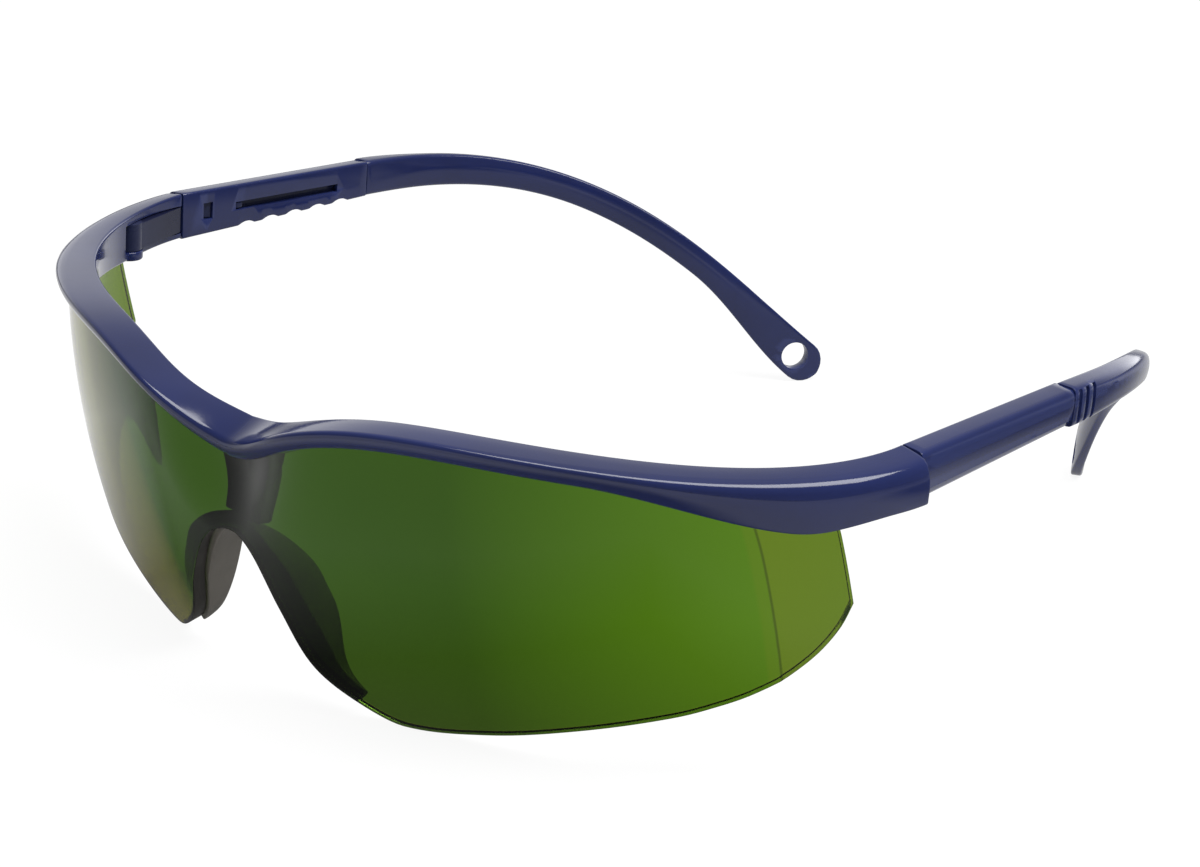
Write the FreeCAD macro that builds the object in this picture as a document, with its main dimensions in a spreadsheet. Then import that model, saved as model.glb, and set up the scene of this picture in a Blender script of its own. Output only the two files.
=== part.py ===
import FreeCAD, Part
import Sketcher
import math
import os

# Welding spectacles: a one-piece tinted lens under a brow bar, a soft nose saddle, and side arms
# that fold at the brow's ends and change length where the ear piece slides in its sleeve.
#
# Design frame, in millimetres: X to the wearer's left, Y to the wearer's back, Z up. Its origin
# lies midway between the two ends of the brow bar, level with the top of the sleeves. Every
# sub-part is then lifted and shifted to stand on Z = 0 with its box centred on the Z axis.

doc = FreeCAD.newDocument("WeldingSpectacles")
sheet = doc.addObject("Spreadsheet::Sheet", "Sizes")

SIZES = [
    # placing
    ("rest_height", 44.29, "height of the design frame's origin over the ground"),
    ("rest_pitch", 1.62, "backward lean at rest on the lens and both tips, in degrees"),
    ("centre_shift", -27.42, "moves the box's middle onto the Z axis"),
    # brow bar, described by its inner top edge in plan
    ("half_width", 70.0, "inner top edge at the bar's ends, from the middle"),
    ("brow_reach", 51.8, "how far the bar bows forward of its ends"),
    ("arch_fullness", 1.8, "roundness of the bow: 2 is an ellipse, less is slimmer"),
    ("dent_depth", 3.9, "how far the bridge is set back"),
    ("dent_width", 9.0, "half-width of the set-back bridge"),
    ("bridge_dip", 5.9, "how far the bar dips over the nose"),
    ("dip_width", 16.2, "half-width of the dip"),
    ("brow_wave", 0.8, "rise and fall of the bar along each side"),
    ("bar_width_front", 6.15, "top face of the bar, front to back, at the front"),
    ("bar_width_end", 4.4, "and at its ends"),
    ("bar_width_bridge", 5.1, "and over the nose"),
    ("face_front", 2.8, "height of the front face at the front"),
    ("face_end", 5.9, "and at the ends"),
    ("crest_drop_end", 0.8, "outward fall of the top face at the ends"),
    ("crest_drop_bridge", 2.5, "and over the nose"),
    ("face_tuck", 1.5, "how far the front face slopes back under at the front"),
    ("face_bulge", 0.35, "belly of the front face"),
    ("back_lip", 0.5, "how much lower the wall behind the lens reaches"),
    # lens
    ("lens_thick", 2.0, "thickness of the lens"),
    ("lens_set_back", 0.9, "lip of the bar in front of the lens"),
    ("lens_insert", 1.9, "how deep the lens sits in the bar's groove at the front"),
    ("lens_insert_side", 3.2, "and at the sides"),
    ("lens_play", 0.12, "clearance of the lens in its groove"),
    ("lens_drop", 45.2, "lowest edge of the lens below the sleeve tops"),
    ("lens_lean", 13.2, "how far the lens curves in, from its top to its lowest edge"),
    ("lens_lean_side", 4.2, "and at its wings"),
    ("lens_dent_fade", 0.6, "share of the bridge's set-back that the lens has lost at its notch"),
    ("lobe_out", 23.0, "the lowest edge's distance from the middle"),
    ("notch_level", 21.4, "top of the nose notch below the sleeve tops"),
    ("notch_half", 12.1, "half-width of the nose notch near its foot"),
    ("wing_back", 9.3, "the wing's lower back corner ahead of the bar's ends"),
    ("wing_level", 19.8, "and below the sleeve tops"),
    ("wing_slope", 0.31, "forward lean of the wing's back edge per unit of height"),
    ("wing_under_hinge", 9.234, "where that edge, turned in at 45 degrees, passes under the hinge"),
    # hinge
    ("hinge_inset", 1.6, "pivot axis inside the end of the inner top edge"),
    ("hinge_ahead", 12.0, "pivot axis ahead of the bar's ends"),
    ("pin_radius", 0.8, "hinge pin"),
    ("pin_play", 0.05, "radial clearance of the pin in the barrel"),
    ("pin_seat_play", 0.02, "radial clearance of the pin in the bar's ears"),
    ("pin_head_radius", 1.4, "head of the pin under the lower ear"),
    ("pin_head_height", 0.5, "its height, sunk flush in the lower ear"),
    ("pin_top_cover", 0.6, "ear left above the pin"),
    ("barrel_radius", 2.1, "barrel of the hinge arm"),
    ("barrel_top", 2.05, "top of the barrel below the sleeve tops"),
    ("barrel_height", 4.2, "height of the barrel"),
    ("ear_play", 0.12, "gap between the barrel and each ear"),
    ("ear_height", 1.4, "thickness of the lower ear"),
    ("pocket_play", 0.4, "gap ahead of the barrel"),
    ("pocket_wall", 1.1, "outer wall of the bar beside the arm"),
    ("pocket_side_play", 0.55, "gap between that wall and the plug at the bar's end"),
    ("arm_side_play", 0.95, "and between it and the arm"),
    ("plug_recess", 3.2, "higher back part of the pocket, over the front of the plug"),
    # side arm
    ("arm_toe_in", 3.4, "inward turn of the side arm, in degrees"),
    ("arm_gap", 0.3, "seam between the bar's end and the sleeve"),
    ("sleeve_length", 37.3, "from the seam to the ear piece"),
    ("sleeve_thick", 3.7, "thickness of the sleeve"),
    ("sleeve_front_height", 7.4, "height of the sleeve at the hinge"),
    ("sleeve_back_height", 5.8, "and at the ear piece"),
    ("sleeve_wall", 0.95, "side walls of the sleeve"),
    ("hollow_top", 2.1, "roof of the sleeve over the hollow"),
    ("hollow_height", 2.8, "height of the hollow"),
    ("plug_length", 8.0, "how far the hinge arm plugs into the sleeve"),
    ("plug_play", 0.05, "clearance of the plug in the hollow"),
    ("window_start", 3.9, "latch window behind the sleeve's front"),
    ("window_length", 1.8, "and its length"),
    ("window_height", 2.7, "and its height"),
    ("click_pitch", 4.8, "distance between two length clicks"),
    ("click_count", 4, "clicks from shortest to longest"),
    ("slot_start", 10.3, "click slot behind the sleeve's front"),
    ("slot_height", 1.3, "height of the click slot"),
    ("stud_length", 1.2, "click stud along the slot"),
    ("stud_play", 0.2, "clearance of the stud in the slot"),
    ("scallop_radius", 2.9, "scallops along the sleeve's inner lower edge"),
    ("scallop_depth", 0.55, "and their depth"),
    ("tongue_play", 0.12, "clearance of the tongue in the hollow"),
    ("tongue_lead", 1.2, "tongue ahead of the click stud"),
    ("tip_gap", 0.12, "seam between the sleeve and the ear piece"),
    # ear piece
    ("tip_length", 97.7, "length of the ear piece along its inner top edge"),
    ("tip_waist", 4.6, "its least height"),
    ("pad_radius", 3.6, "round pad at its end"),
    ("pad_thick", 2.0, "thickness of the pad"),
    ("cord_hole_radius", 2.4, "hole for a neck cord"),
    ("cord_hole_ahead", 1.8, "hole ahead of the middle of the pad's round end"),
    ("groove_width", 0.9, "decorative grooves at the front of the ear piece"),
    ("groove_depth", 0.35, "and their depth"),
    ("groove_pitch", 2.0, "and their spacing"),
    # nose saddle
    ("saddle_thick", 2.2, "wall of the nose saddle over the nose"),
    ("saddle_thick_side", 4.0, "its wall beside the nose, against the lens"),
    ("saddle_edge", 0.9, "and at the flanges' free edges"),
    ("saddle_depth", 6.7, "greatest depth of its flanges"),
    ("saddle_depth_top", 3.4, "depth over the bridge of the nose"),
    ("saddle_depth_foot", 1.2, "and at the feet of the flanges"),
    ("saddle_splay", 10.5, "outward splay of the flanges, in degrees"),
    ("saddle_gap", 0.4, "gap between the lens and what stands behind it in the middle"),
    ("tab_width_top", 11.5, "bridge tab that carries the saddle, at the bar"),
    ("tab_width_foot", 6.0, "and at its foot"),
    ("tab_thick", 1.5, "thickness of the tab"),
    ("stud_radius", 1.1, "stud that holds the saddle on the tab"),
    ("stud_hole_play", 0.05, "clearance of that stud in the tab"),
]

for row, (alias, number, meaning) in enumerate(SIZES, start=1):
    sheet.set("A%d" % row, meaning)
    sheet.set("B%d" % row, str(number))
    sheet.setAlias("B%d" % row, alias)
doc.recompute()


def size(alias):
    """One driving dimension, read from the sheet."""
    return float(sheet.get(alias))


def bind(item, **expressions):
    """Ties properties to the sheet; a double underscore in a keyword stands for a dot."""
    for name, expression in expressions.items():
        item.setExpression(name.replace("__", "."), expression)


def solve(expression):
    """The present value of a sheet expression."""
    value = sheet.evalExpression(expression)
    return float(getattr(value, "Value", value))


# Placing: the whole object's shift, and the left arm's frame at its hinge axis.

SHIFT = FreeCAD.Vector(0, size("centre_shift"), size("rest_height"))
PITCH = FreeCAD.Rotation(FreeCAD.Vector(1, 0, 0), -size("rest_pitch"))
WHOLE = FreeCAD.Placement(SHIFT, PITCH)
PIVOT = FreeCAD.Vector(size("half_width") - size("hinge_inset"), -size("hinge_ahead"), 0)
TOE_IN = FreeCAD.Rotation(FreeCAD.Vector(0, 0, 1), size("arm_toe_in"))
HINGE = WHOLE.multiply(FreeCAD.Placement(PIVOT, FreeCAD.Rotation()))
ARM = WHOLE.multiply(FreeCAD.Placement(PIVOT, TOE_IN))


# Shape of the brow bar: an elliptical arch in plan, at an angle of 0 in the middle and 90
# degrees at the left end, with a dip and a set-back bridge over the nose.

def hump(distance, width):
    return math.exp(-(distance / width) ** 2)


def ease(low, high, value):
    """Smooth step from 0 at low to 1 at high."""
    share = min(1.0, max(0.0, (value - low) / (high - low)))
    return share * share * (3 - 2 * share)


def arch_point(angle):
    """A point of the bar's inner top edge."""
    turn = math.radians(angle)
    power = 2 / size("arch_fullness")
    x = math.copysign(size("half_width") * abs(math.sin(turn)) ** power, angle)
    y = -size("brow_reach") * abs(math.cos(turn)) ** power + size("dent_depth") * hump(x, size("dent_width"))
    z = size("brow_wave") * math.sin(4 * abs(turn)) - size("bridge_dip") * hump(x, size("dip_width"))
    return FreeCAD.Vector(x, y, z)


def arch_outward(angle):
    """Level direction square to the arch, away from the wearer."""
    turn = math.radians(angle)
    power = 2 - 2 / size("arch_fullness")
    across = size("brow_reach") * abs(math.sin(turn)) ** power
    ahead = size("half_width") * abs(math.cos(turn)) ** power
    return FreeCAD.Vector(math.copysign(across, angle), -ahead, 0).normalize()


def side_share(angle):
    """0 at the front, 1 at the ends."""
    return (angle / 90.0) ** 2


def bar_width(angle):
    front = size("bar_width_front")
    width = front + (size("bar_width_end") - front) * side_share(angle)
    return width - (front - size("bar_width_bridge")) * hump(arch_point(angle).x, size("dent_width"))


def crest_drop(angle):
    bridge = size("crest_drop_bridge") * hump(arch_point(angle).x, size("dent_width"))
    return size("crest_drop_end") * side_share(angle) + bridge


def face_height(angle):
    front = size("face_front")
    return front + (size("face_end") - front) * ease(32, 78, abs(angle))


def face_foot(angle):
    """Distance of the front face's lower edge from the inner top edge."""
    return bar_width(angle) - size("face_tuck") * (1 - (angle / 72.0) ** 2)


def face_foot_level(angle):
    return arch_point(angle).z - crest_drop(angle) - face_height(angle)


def arch_angles(limit, count):
    """Angles from -limit to limit, closer together over the nose."""
    steps = range(-count, count + 1)
    return [math.copysign(limit * abs(step / count) ** 1.35, step) for step in steps]


def bar_profile(angle):
    """Closed section of the bar: top, bellied front face, underside and back."""
    start = arch_point(angle)
    out = arch_outward(angle)
    down = FreeCAD.Vector(0, 0, -1)
    width = bar_width(angle)
    drop = crest_drop(angle)
    foot = face_foot(angle)
    foot_drop = drop + face_height(angle)
    crest = start + out * width + down * drop
    belly = start + out * ((width + foot) / 2 + size("face_bulge")) + down * (drop + foot_drop) * 0.5
    lower = start + out * foot + down * foot_drop
    heel = start + down * (foot_drop + size("back_lip"))
    return Part.Wire([
        Part.makeLine(start, crest),
        Part.Arc(crest, belly, lower).toShape(),
        Part.makeLine(lower, heel),
        Part.makeLine(heel, start),
    ])


# Shape of the lens: the same arch, set back from the bar's front face and leaning inwards.

def lens_offset(angle, level):
    """Distance of the lens's front surface from the arch, at a level."""
    fall = (face_foot_level(angle) - level) / size("lens_drop")
    lean = size("lens_lean") + (size("lens_lean_side") - size("lens_lean")) * side_share(angle)
    return face_foot(angle) - size("lens_set_back") - lean * (0.22 * fall + 0.78 * fall * abs(fall))


def lens_point(angle, level, depth):
    """A point of the lens, depth behind its front surface."""
    start = arch_point(angle)
    point = start + arch_outward(angle) * (lens_offset(angle, level) - depth)
    fade = size("lens_dent_fade") * ease(0, 0.3, (face_foot_level(angle) - level) / size("lens_drop"))
    dent = size("dent_depth") * hump(start.x, size("dent_width"))
    return FreeCAD.Vector(point.x, point.y - fade * dent, level)


def lens_band(play):
    """The lens's full curved band, thickened by the play on both faces."""
    levels = [4 - step * (size("lens_drop") + 8) / 7 for step in range(8)]
    angles = arch_angles(89, 16)
    rings = []
    for level in levels:
        front = [lens_point(angle, level, -play) for angle in angles]
        back = [lens_point(angle, level, size("lens_thick") + play) for angle in reversed(angles)]
        front_curve = Part.BSplineCurve()
        front_curve.interpolate(front)
        back_curve = Part.BSplineCurve()
        back_curve.interpolate(back)
        rings.append(Part.Wire([
            front_curve.toShape(),
            Part.makeLine(front[-1], back[0]),
            back_curve.toShape(),
            Part.makeLine(back[-1], front[0]),
        ]))
    return Part.makeLoft(rings, True)


def lens_top(angle, play):
    """A point of the lens's top edge in the bar's groove, seen from the front."""
    insert = size("lens_insert")
    insert += (size("lens_insert_side") - insert) * ease(32, 70, abs(angle))
    level = face_foot_level(angle) + insert + play
    return FreeCAD.Vector(lens_point(angle, level, 0).x, 0, level)


def half_outline():
    """Lower edge of the lens's left half, seen from the front, from the notch to the wing."""
    notch = size("notch_half")
    apex = size("notch_level")
    lobe = size("lobe_out")
    foot = size("lens_drop")
    wide = size("half_width")
    points = [
        (0, apex),
        (0.36 * notch, apex + 0.08 * (foot - apex)),
        (0.70 * notch, apex + 0.38 * (foot - apex)),
        (notch, apex + 0.72 * (foot - apex)),
        ((notch + lobe) / 2, foot - 2.1),
        (lobe, foot),
        (0.50 * wide, foot - 2.0),
        (0.66 * wide, foot - 4.9),
        (0.82 * wide, foot - 9.2),
        (0.93 * wide, foot - 14.2),
        (1.10 * wide, foot - 21.0),
    ]
    return [FreeCAD.Vector(x, 0, -depth) for x, depth in points]


def mirrored(points):
    """The right half's points, from the far end back to the middle."""
    return [FreeCAD.Vector(-point.x, point.y, point.z) for point in reversed(points[1:])]


def front_prism(play, open_below):
    """Everything inside the lens's front outline, as a prism along Y."""
    top = [lens_top(angle, play) for angle in arch_angles(80, 10)]
    edge = 1.15 * size("half_width")
    if open_below:
        low = -size("lens_drop")
        lower = [Part.makeLine(FreeCAD.Vector(edge, 0, low), FreeCAD.Vector(-edge, 0, low))]
        left_end, right_end = FreeCAD.Vector(edge, 0, low), FreeCAD.Vector(-edge, 0, low)
    else:
        half = half_outline()
        points = mirrored(half) + half
        curve = Part.BSplineCurve()
        curve.interpolate(points)
        lower = [curve.toShape()]
        left_end, right_end = points[-1], points[0]
    left_top = FreeCAD.Vector(left_end.x, 0, top[-1].z)
    right_top = FreeCAD.Vector(right_end.x, 0, top[0].z)
    top_curve = Part.BSplineCurve()
    top_curve.interpolate(top)
    edges = [
        top_curve.toShape(),
        Part.makeLine(top[-1], left_top),
        Part.makeLine(left_top, left_end),
        Part.makeLine(right_end, right_top),
        Part.makeLine(right_top, top[0]),
    ] + lower
    face = Part.Face(Part.Wire(Part.__sortEdges__(edges)))
    face.translate(FreeCAD.Vector(0, -2 * size("brow_reach"), 0))
    return face.extrude(FreeCAD.Vector(0, 3 * size("brow_reach"), 0))


def side_prism(play, open_below):
    """Everything ahead of the wing's back edge, as a prism along X."""
    back = -size("wing_back") + play
    level = -size("wing_level")
    high = 12
    corner = FreeCAD.Vector(0, back, level)
    slope = size("wing_slope")
    hinge_end = size("wing_back") + slope * size("wing_level") - size("hinge_ahead")
    turn_level = (hinge_end - size("wing_under_hinge")) / (1 - slope)
    shoulder = FreeCAD.Vector(0, back + slope * (level - turn_level), turn_level)
    top = FreeCAD.Vector(0, shoulder.y - (high - turn_level), high)
    front = -3 * size("brow_reach")
    low = -size("lens_drop") - 10
    top_front = FreeCAD.Vector(0, front, high)
    low_front = FreeCAD.Vector(0, front, low)
    if open_below:
        low_back = FreeCAD.Vector(0, back, low)
        edges = [Part.makeLine(corner, low_back), Part.makeLine(low_back, low_front)]
    else:
        curve = Part.BSplineCurve()
        curve.interpolate([
            corner,
            FreeCAD.Vector(0, back - 1.3, level - 3.4),
            FreeCAD.Vector(0, back - 4.2, level - 6.8),
            FreeCAD.Vector(0, back - 14.0, level - 14.5),
        ])
        turn = curve.EndPoint
        low_turn = FreeCAD.Vector(0, turn.y, low)
        edges = [curve.toShape(), Part.makeLine(turn, low_turn), Part.makeLine(low_turn, low_front)]
    edges += [
        Part.makeLine(low_front, top_front),
        Part.makeLine(top_front, top),
        Part.makeLine(top, shoulder),
        Part.makeLine(shoulder, corner),
    ]
    face = Part.Face(Part.Wire(Part.__sortEdges__(edges)))
    face.translate(FreeCAD.Vector(-1.5 * size("half_width"), 0, 0))
    return face.extrude(FreeCAD.Vector(3 * size("half_width"), 0, 0))


def feature(label, shape, placement):
    """A sub-part whose shape is made here, with its placement set after its shape."""
    item = doc.addObject("Part::Feature", label)
    item.Shape = shape
    item.Placement = placement
    item.Label = label
    return item


def both_sides(shape):
    """The shape and its mirror image."""
    return [shape, shape.mirror(FreeCAD.Vector(0, 0, 0), FreeCAD.Vector(1, 0, 0))]


# The lens.

def make_lens():
    band = lens_band(0)
    shape = band.common(front_prism(0, False)).common(side_prism(0, False))
    return feature("lens", shape, WHOLE)


# The brow bar, with the lens groove, the hinge pockets and ears, and the bridge tab.

def hinge_pocket():
    """Space for the barrel and the arm, open inwards and backwards."""
    top = -size("barrel_top") + size("ear_play")
    height = size("barrel_height") + 2 * size("ear_play")
    reach = size("barrel_radius") + size("pocket_play")
    inside = PIVOT.x - 4 * size("barrel_radius")
    wall = size("pocket_wall")
    end_x = size("half_width") + size("sleeve_thick") - size("sleeve_wall") + size("pocket_side_play")
    mid = arch_point(86) + arch_outward(86) * (bar_width(86) - wall)
    beside = PIVOT.x + size("barrel_radius") + 0.3
    corners = [
        (inside, PIVOT.y - reach),
        (PIVOT.x + 0.5 * size("barrel_radius"), PIVOT.y - reach),
        (beside, PIVOT.y),
        (mid.x, mid.y),
        (end_x, 1),
        (inside, 1),
    ]
    pocket = upright_prism(corners, top - height, top)
    plug_corners = [
        (inside, -size("plug_recess")),
        (end_x - 0.2, -size("plug_recess")),
        (end_x, 1),
        (inside, 1),
    ]
    plug_roof = -size("hollow_top") + size("ear_play")
    return pocket.fuse(upright_prism(plug_corners, top - height / 2, plug_roof))


def upright_prism(corners, foot, top):
    """Prism over an outline in plan, between two levels."""
    points = [FreeCAD.Vector(x, y, foot) for x, y in corners]
    outline = Part.makePolygon(points + points[:1])
    return Part.Face(outline).extrude(FreeCAD.Vector(0, 0, top - foot))


def lower_ear():
    """Rounded shelf under the barrel."""
    top = -size("barrel_top") - size("barrel_height") - size("ear_play")
    base = FreeCAD.Vector(PIVOT.x, PIVOT.y, top - size("ear_height"))
    return Part.makeCylinder(size("barrel_radius") + 0.2, size("ear_height"), base)


def pin_hole():
    """Stepped hole for the pin, from under the lower ear into the upper one."""
    foot = -size("barrel_top") - size("barrel_height") - size("ear_play") - size("ear_height")
    top = arch_point(76).z - size("pin_top_cover")
    radius = size("pin_radius") + size("pin_seat_play")
    shank = Part.makeCylinder(radius, top - foot, FreeCAD.Vector(PIVOT.x, PIVOT.y, foot))
    head_radius = size("pin_head_radius") + size("pin_seat_play")
    head_base = FreeCAD.Vector(PIVOT.x, PIVOT.y, foot - 1)
    head = Part.makeCylinder(head_radius, 1 + size("pin_head_height"), head_base)
    return shank.fuse(head)


def bridge_tab():
    """Tapered tab behind the lens, from the bar down to the nose saddle."""
    levels = [arch_point(0).z - 2, -size("notch_level") + size("saddle_thick") + 1.2]
    widths = [size("tab_width_top"), size("tab_width_foot")]
    rings = []
    for level, width in zip(levels, widths):
        front = tab_front(level)
        back = front + size("tab_thick")
        corners = [(-width / 2, front), (width / 2, front), (width / 2, back), (-width / 2, back)]
        points = [FreeCAD.Vector(x, y, level) for x, y in corners]
        rings.append(Part.makePolygon(points + points[:1]))
    return Part.makeLoft(rings, True, True)


def tab_front(level):
    """Front face of the bridge tab at a level."""
    return lens_point(0, level, size("lens_thick") + size("saddle_gap")).y


def saddle_stud(play):
    """Stud that joins the saddle's stem to the tab."""
    level = (arch_point(0).z - size("notch_level")) / 2 - 1
    base = FreeCAD.Vector(0, tab_front(level) - play, level)
    length = size("tab_thick") + 1.5
    return Part.makeCylinder(size("stud_radius") + play, length, base, FreeCAD.Vector(0, 1, 0))


def make_brow():
    bar = Part.makeLoft([bar_profile(angle) for angle in arch_angles(90, 18)], True)
    groove = lens_band(size("lens_play"))
    groove = groove.common(front_prism(size("lens_play"), True))
    groove = groove.common(side_prism(size("lens_play"), True))
    shape = bar
    for pocket in both_sides(hinge_pocket()):
        shape = shape.cut(pocket)
    for ear in both_sides(lower_ear()):
        shape = shape.fuse(ear)
    shape = shape.fuse(bridge_tab().cut(saddle_stud(size("stud_hole_play"))))
    shape = shape.cut(groove)
    for hole in both_sides(pin_hole()):
        shape = shape.cut(hole)
    return feature("brow_frame", shape, WHOLE)



# Hinge pin: a shank with a flat head, pushed up through the lower ear.

def make_pin(label):
    foot = "-(Sizes.barrel_top + Sizes.barrel_height + Sizes.ear_play + Sizes.ear_height)"
    shank = doc.addObject("Part::Cylinder", label + "_shank")
    length = -size("pin_top_cover") - 0.1 + arch_point(76).z - solve(foot)
    shank.Height = length
    bind(shank, Radius="Sizes.pin_radius", Placement__Base__z=foot)
    head = doc.addObject("Part::Cylinder", label + "_head")
    bind(
        head,
        Radius="Sizes.pin_head_radius",
        Height="Sizes.pin_head_height",
        Placement__Base__z=foot,
    )
    pin = doc.addObject("Part::Fuse", label)
    pin.Base = shank
    pin.Tool = head
    pin.Placement = HINGE
    pin.Label = label
    return pin


# Hinge arm: barrel, bar and plug, drawn in plan about the pivot axis.

def plane_sketch(body, name, role, level):
    """Empty sketch on one of the body's origin planes, raised to a level."""
    sketch = body.newObject("Sketcher::SketchObject", name)
    plane = [item for item in body.Origin.OriginFeatures if item.Role == role][0]
    sketch.AttachmentSupport = (plane, [""])
    sketch.MapMode = "FlatFace"
    sketch.setExpression("AttachmentOffset.Base.z", level)
    return sketch


def outline_sketch(body, name, role, level, corners):
    """Closed polygon whose corners are pairs of sheet expressions."""
    sketch = plane_sketch(body, name, role, level)
    spots = [FreeCAD.Vector(solve(across), solve(along), 0) for across, along in corners]
    count = len(spots)
    for index in range(count):
        sketch.addGeometry(Part.LineSegment(spots[index], spots[(index + 1) % count]))
    for index in range(count):
        sketch.addConstraint(Sketcher.Constraint("Coincident", index, 2, (index + 1) % count, 1))
    for index, (across, along) in enumerate(corners):
        for kind, expression, value in (
            ("DistanceX", across, spots[index].x),
            ("DistanceY", along, spots[index].y),
        ):
            number = sketch.addConstraint(Sketcher.Constraint(kind, -1, 1, index, 1, value))
            sketch.setExpression("Constraints[%d]" % number, expression)
    return sketch


def circle_sketch(body, name, role, level, radius):
    """Circle about the sketch's origin."""
    sketch = plane_sketch(body, name, role, level)
    circle = Part.Circle(FreeCAD.Vector(0, 0, 0), FreeCAD.Vector(0, 0, 1), solve(radius))
    sketch.addGeometry(circle)
    sketch.addConstraint(Sketcher.Constraint("Coincident", 0, 3, -1, 1))
    number = sketch.addConstraint(Sketcher.Constraint("Radius", 0, solve(radius)))
    sketch.setExpression("Constraints[%d]" % number, radius)
    return sketch


def pad(body, name, sketch, length):
    item = body.newObject("PartDesign::Pad", name)
    item.Profile = sketch
    item.setExpression("Length", length)
    return item


SLEEVE_FRONT = "(Sizes.hinge_ahead + Sizes.arm_gap)"
HOLLOW_INNER = "(Sizes.sleeve_inset + Sizes.sleeve_wall)"
HOLLOW_OUTER = "(Sizes.sleeve_inset + Sizes.sleeve_thick - Sizes.sleeve_wall)"


def make_arm(label):
    body = doc.addObject("PartDesign::Body", label)
    barrel_foot = "-Sizes.barrel_top - Sizes.barrel_height"
    barrel = circle_sketch(body, label + "_ring", "XY_Plane", barrel_foot, "Sizes.barrel_radius")
    pad(body, label + "_barrel", barrel, "Sizes.barrel_height")
    inner = "(Sizes.sleeve_inset + 0.1)"
    outer = "(Sizes.sleeve_inset + Sizes.bar_width_end - Sizes.pocket_wall - Sizes.arm_side_play)"
    bar = outline_sketch(body, label + "_plan", "XY_Plane", barrel_foot + " + 0.1", [
        ("-0.80 * Sizes.barrel_radius", "0.55 * Sizes.barrel_radius"),
        ("0", "-0.5 * Sizes.barrel_radius"),
        ("0.93 * Sizes.barrel_radius", "0.30 * Sizes.barrel_radius"),
        (outer + " - 0.15", "0.70 * Sizes.hinge_ahead"),
        (outer, "Sizes.hinge_ahead - 0.2"),
        (inner, "Sizes.hinge_ahead - 0.2"),
    ])
    pad(body, label + "_bar", bar, "Sizes.barrel_height - 0.2")
    plug_foot = "-Sizes.hollow_top - Sizes.hollow_height + Sizes.plug_play"
    near = HOLLOW_INNER + " + Sizes.plug_play"
    far = HOLLOW_OUTER + " - Sizes.plug_play"
    start = "Sizes.hinge_ahead - 1.5"
    end = SLEEVE_FRONT + " + Sizes.plug_length"
    plug = outline_sketch(body, label + "_plug_plan", "XY_Plane", plug_foot, [
        (near, start),
        (far, start),
        (far, end),
        (near, end),
    ])
    pad(body, label + "_plug", plug, "Sizes.hollow_height - 2 * Sizes.plug_play")
    tooth_foot = "-Sizes.hollow_top - (Sizes.hollow_height + Sizes.window_height) / 2 + 0.2"
    tooth_face = "Sizes.sleeve_inset + 0.45"
    tooth_start = SLEEVE_FRONT + " + Sizes.window_start + 0.1"
    tooth_end = SLEEVE_FRONT + " + Sizes.window_start + Sizes.window_length - 0.1"
    tooth = outline_sketch(body, label + "_tooth_plan", "XY_Plane", tooth_foot, [
        (near + " + 0.2", tooth_start),
        (near + " + 0.2", tooth_end),
        (tooth_face, tooth_end),
        (tooth_face + " + 0.3", tooth_start),
    ])
    pad(body, label + "_tooth", tooth, "Sizes.window_height - 0.4")
    bore_radius = "Sizes.pin_radius + Sizes.pin_play"
    bore = circle_sketch(body, label + "_bore_ring", "XY_Plane", barrel_foot + " - 1", bore_radius)
    doc.recompute()
    hole = body.newObject("PartDesign::Pocket", label + "_bore")
    hole.Profile = bore
    hole.Reversed = True
    hole.setExpression("Length", "Sizes.barrel_height + 2")
    body.Placement = ARM
    body.Label = label
    return body


# Temple sleeve: tapered hollow front of the side arm, drawn from primitives in the arm's frame.

def block(name, **expressions):
    """A box bound to the sheet; x, y and z place its corner."""
    item = doc.addObject("Part::Box", name)
    for key, target in (("x", "Placement.Base.x"), ("y", "Placement.Base.y"), ("z", "Placement.Base.z")):
        item.setExpression(target, expressions.pop(key))
    bind(item, **expressions)
    return item


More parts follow.
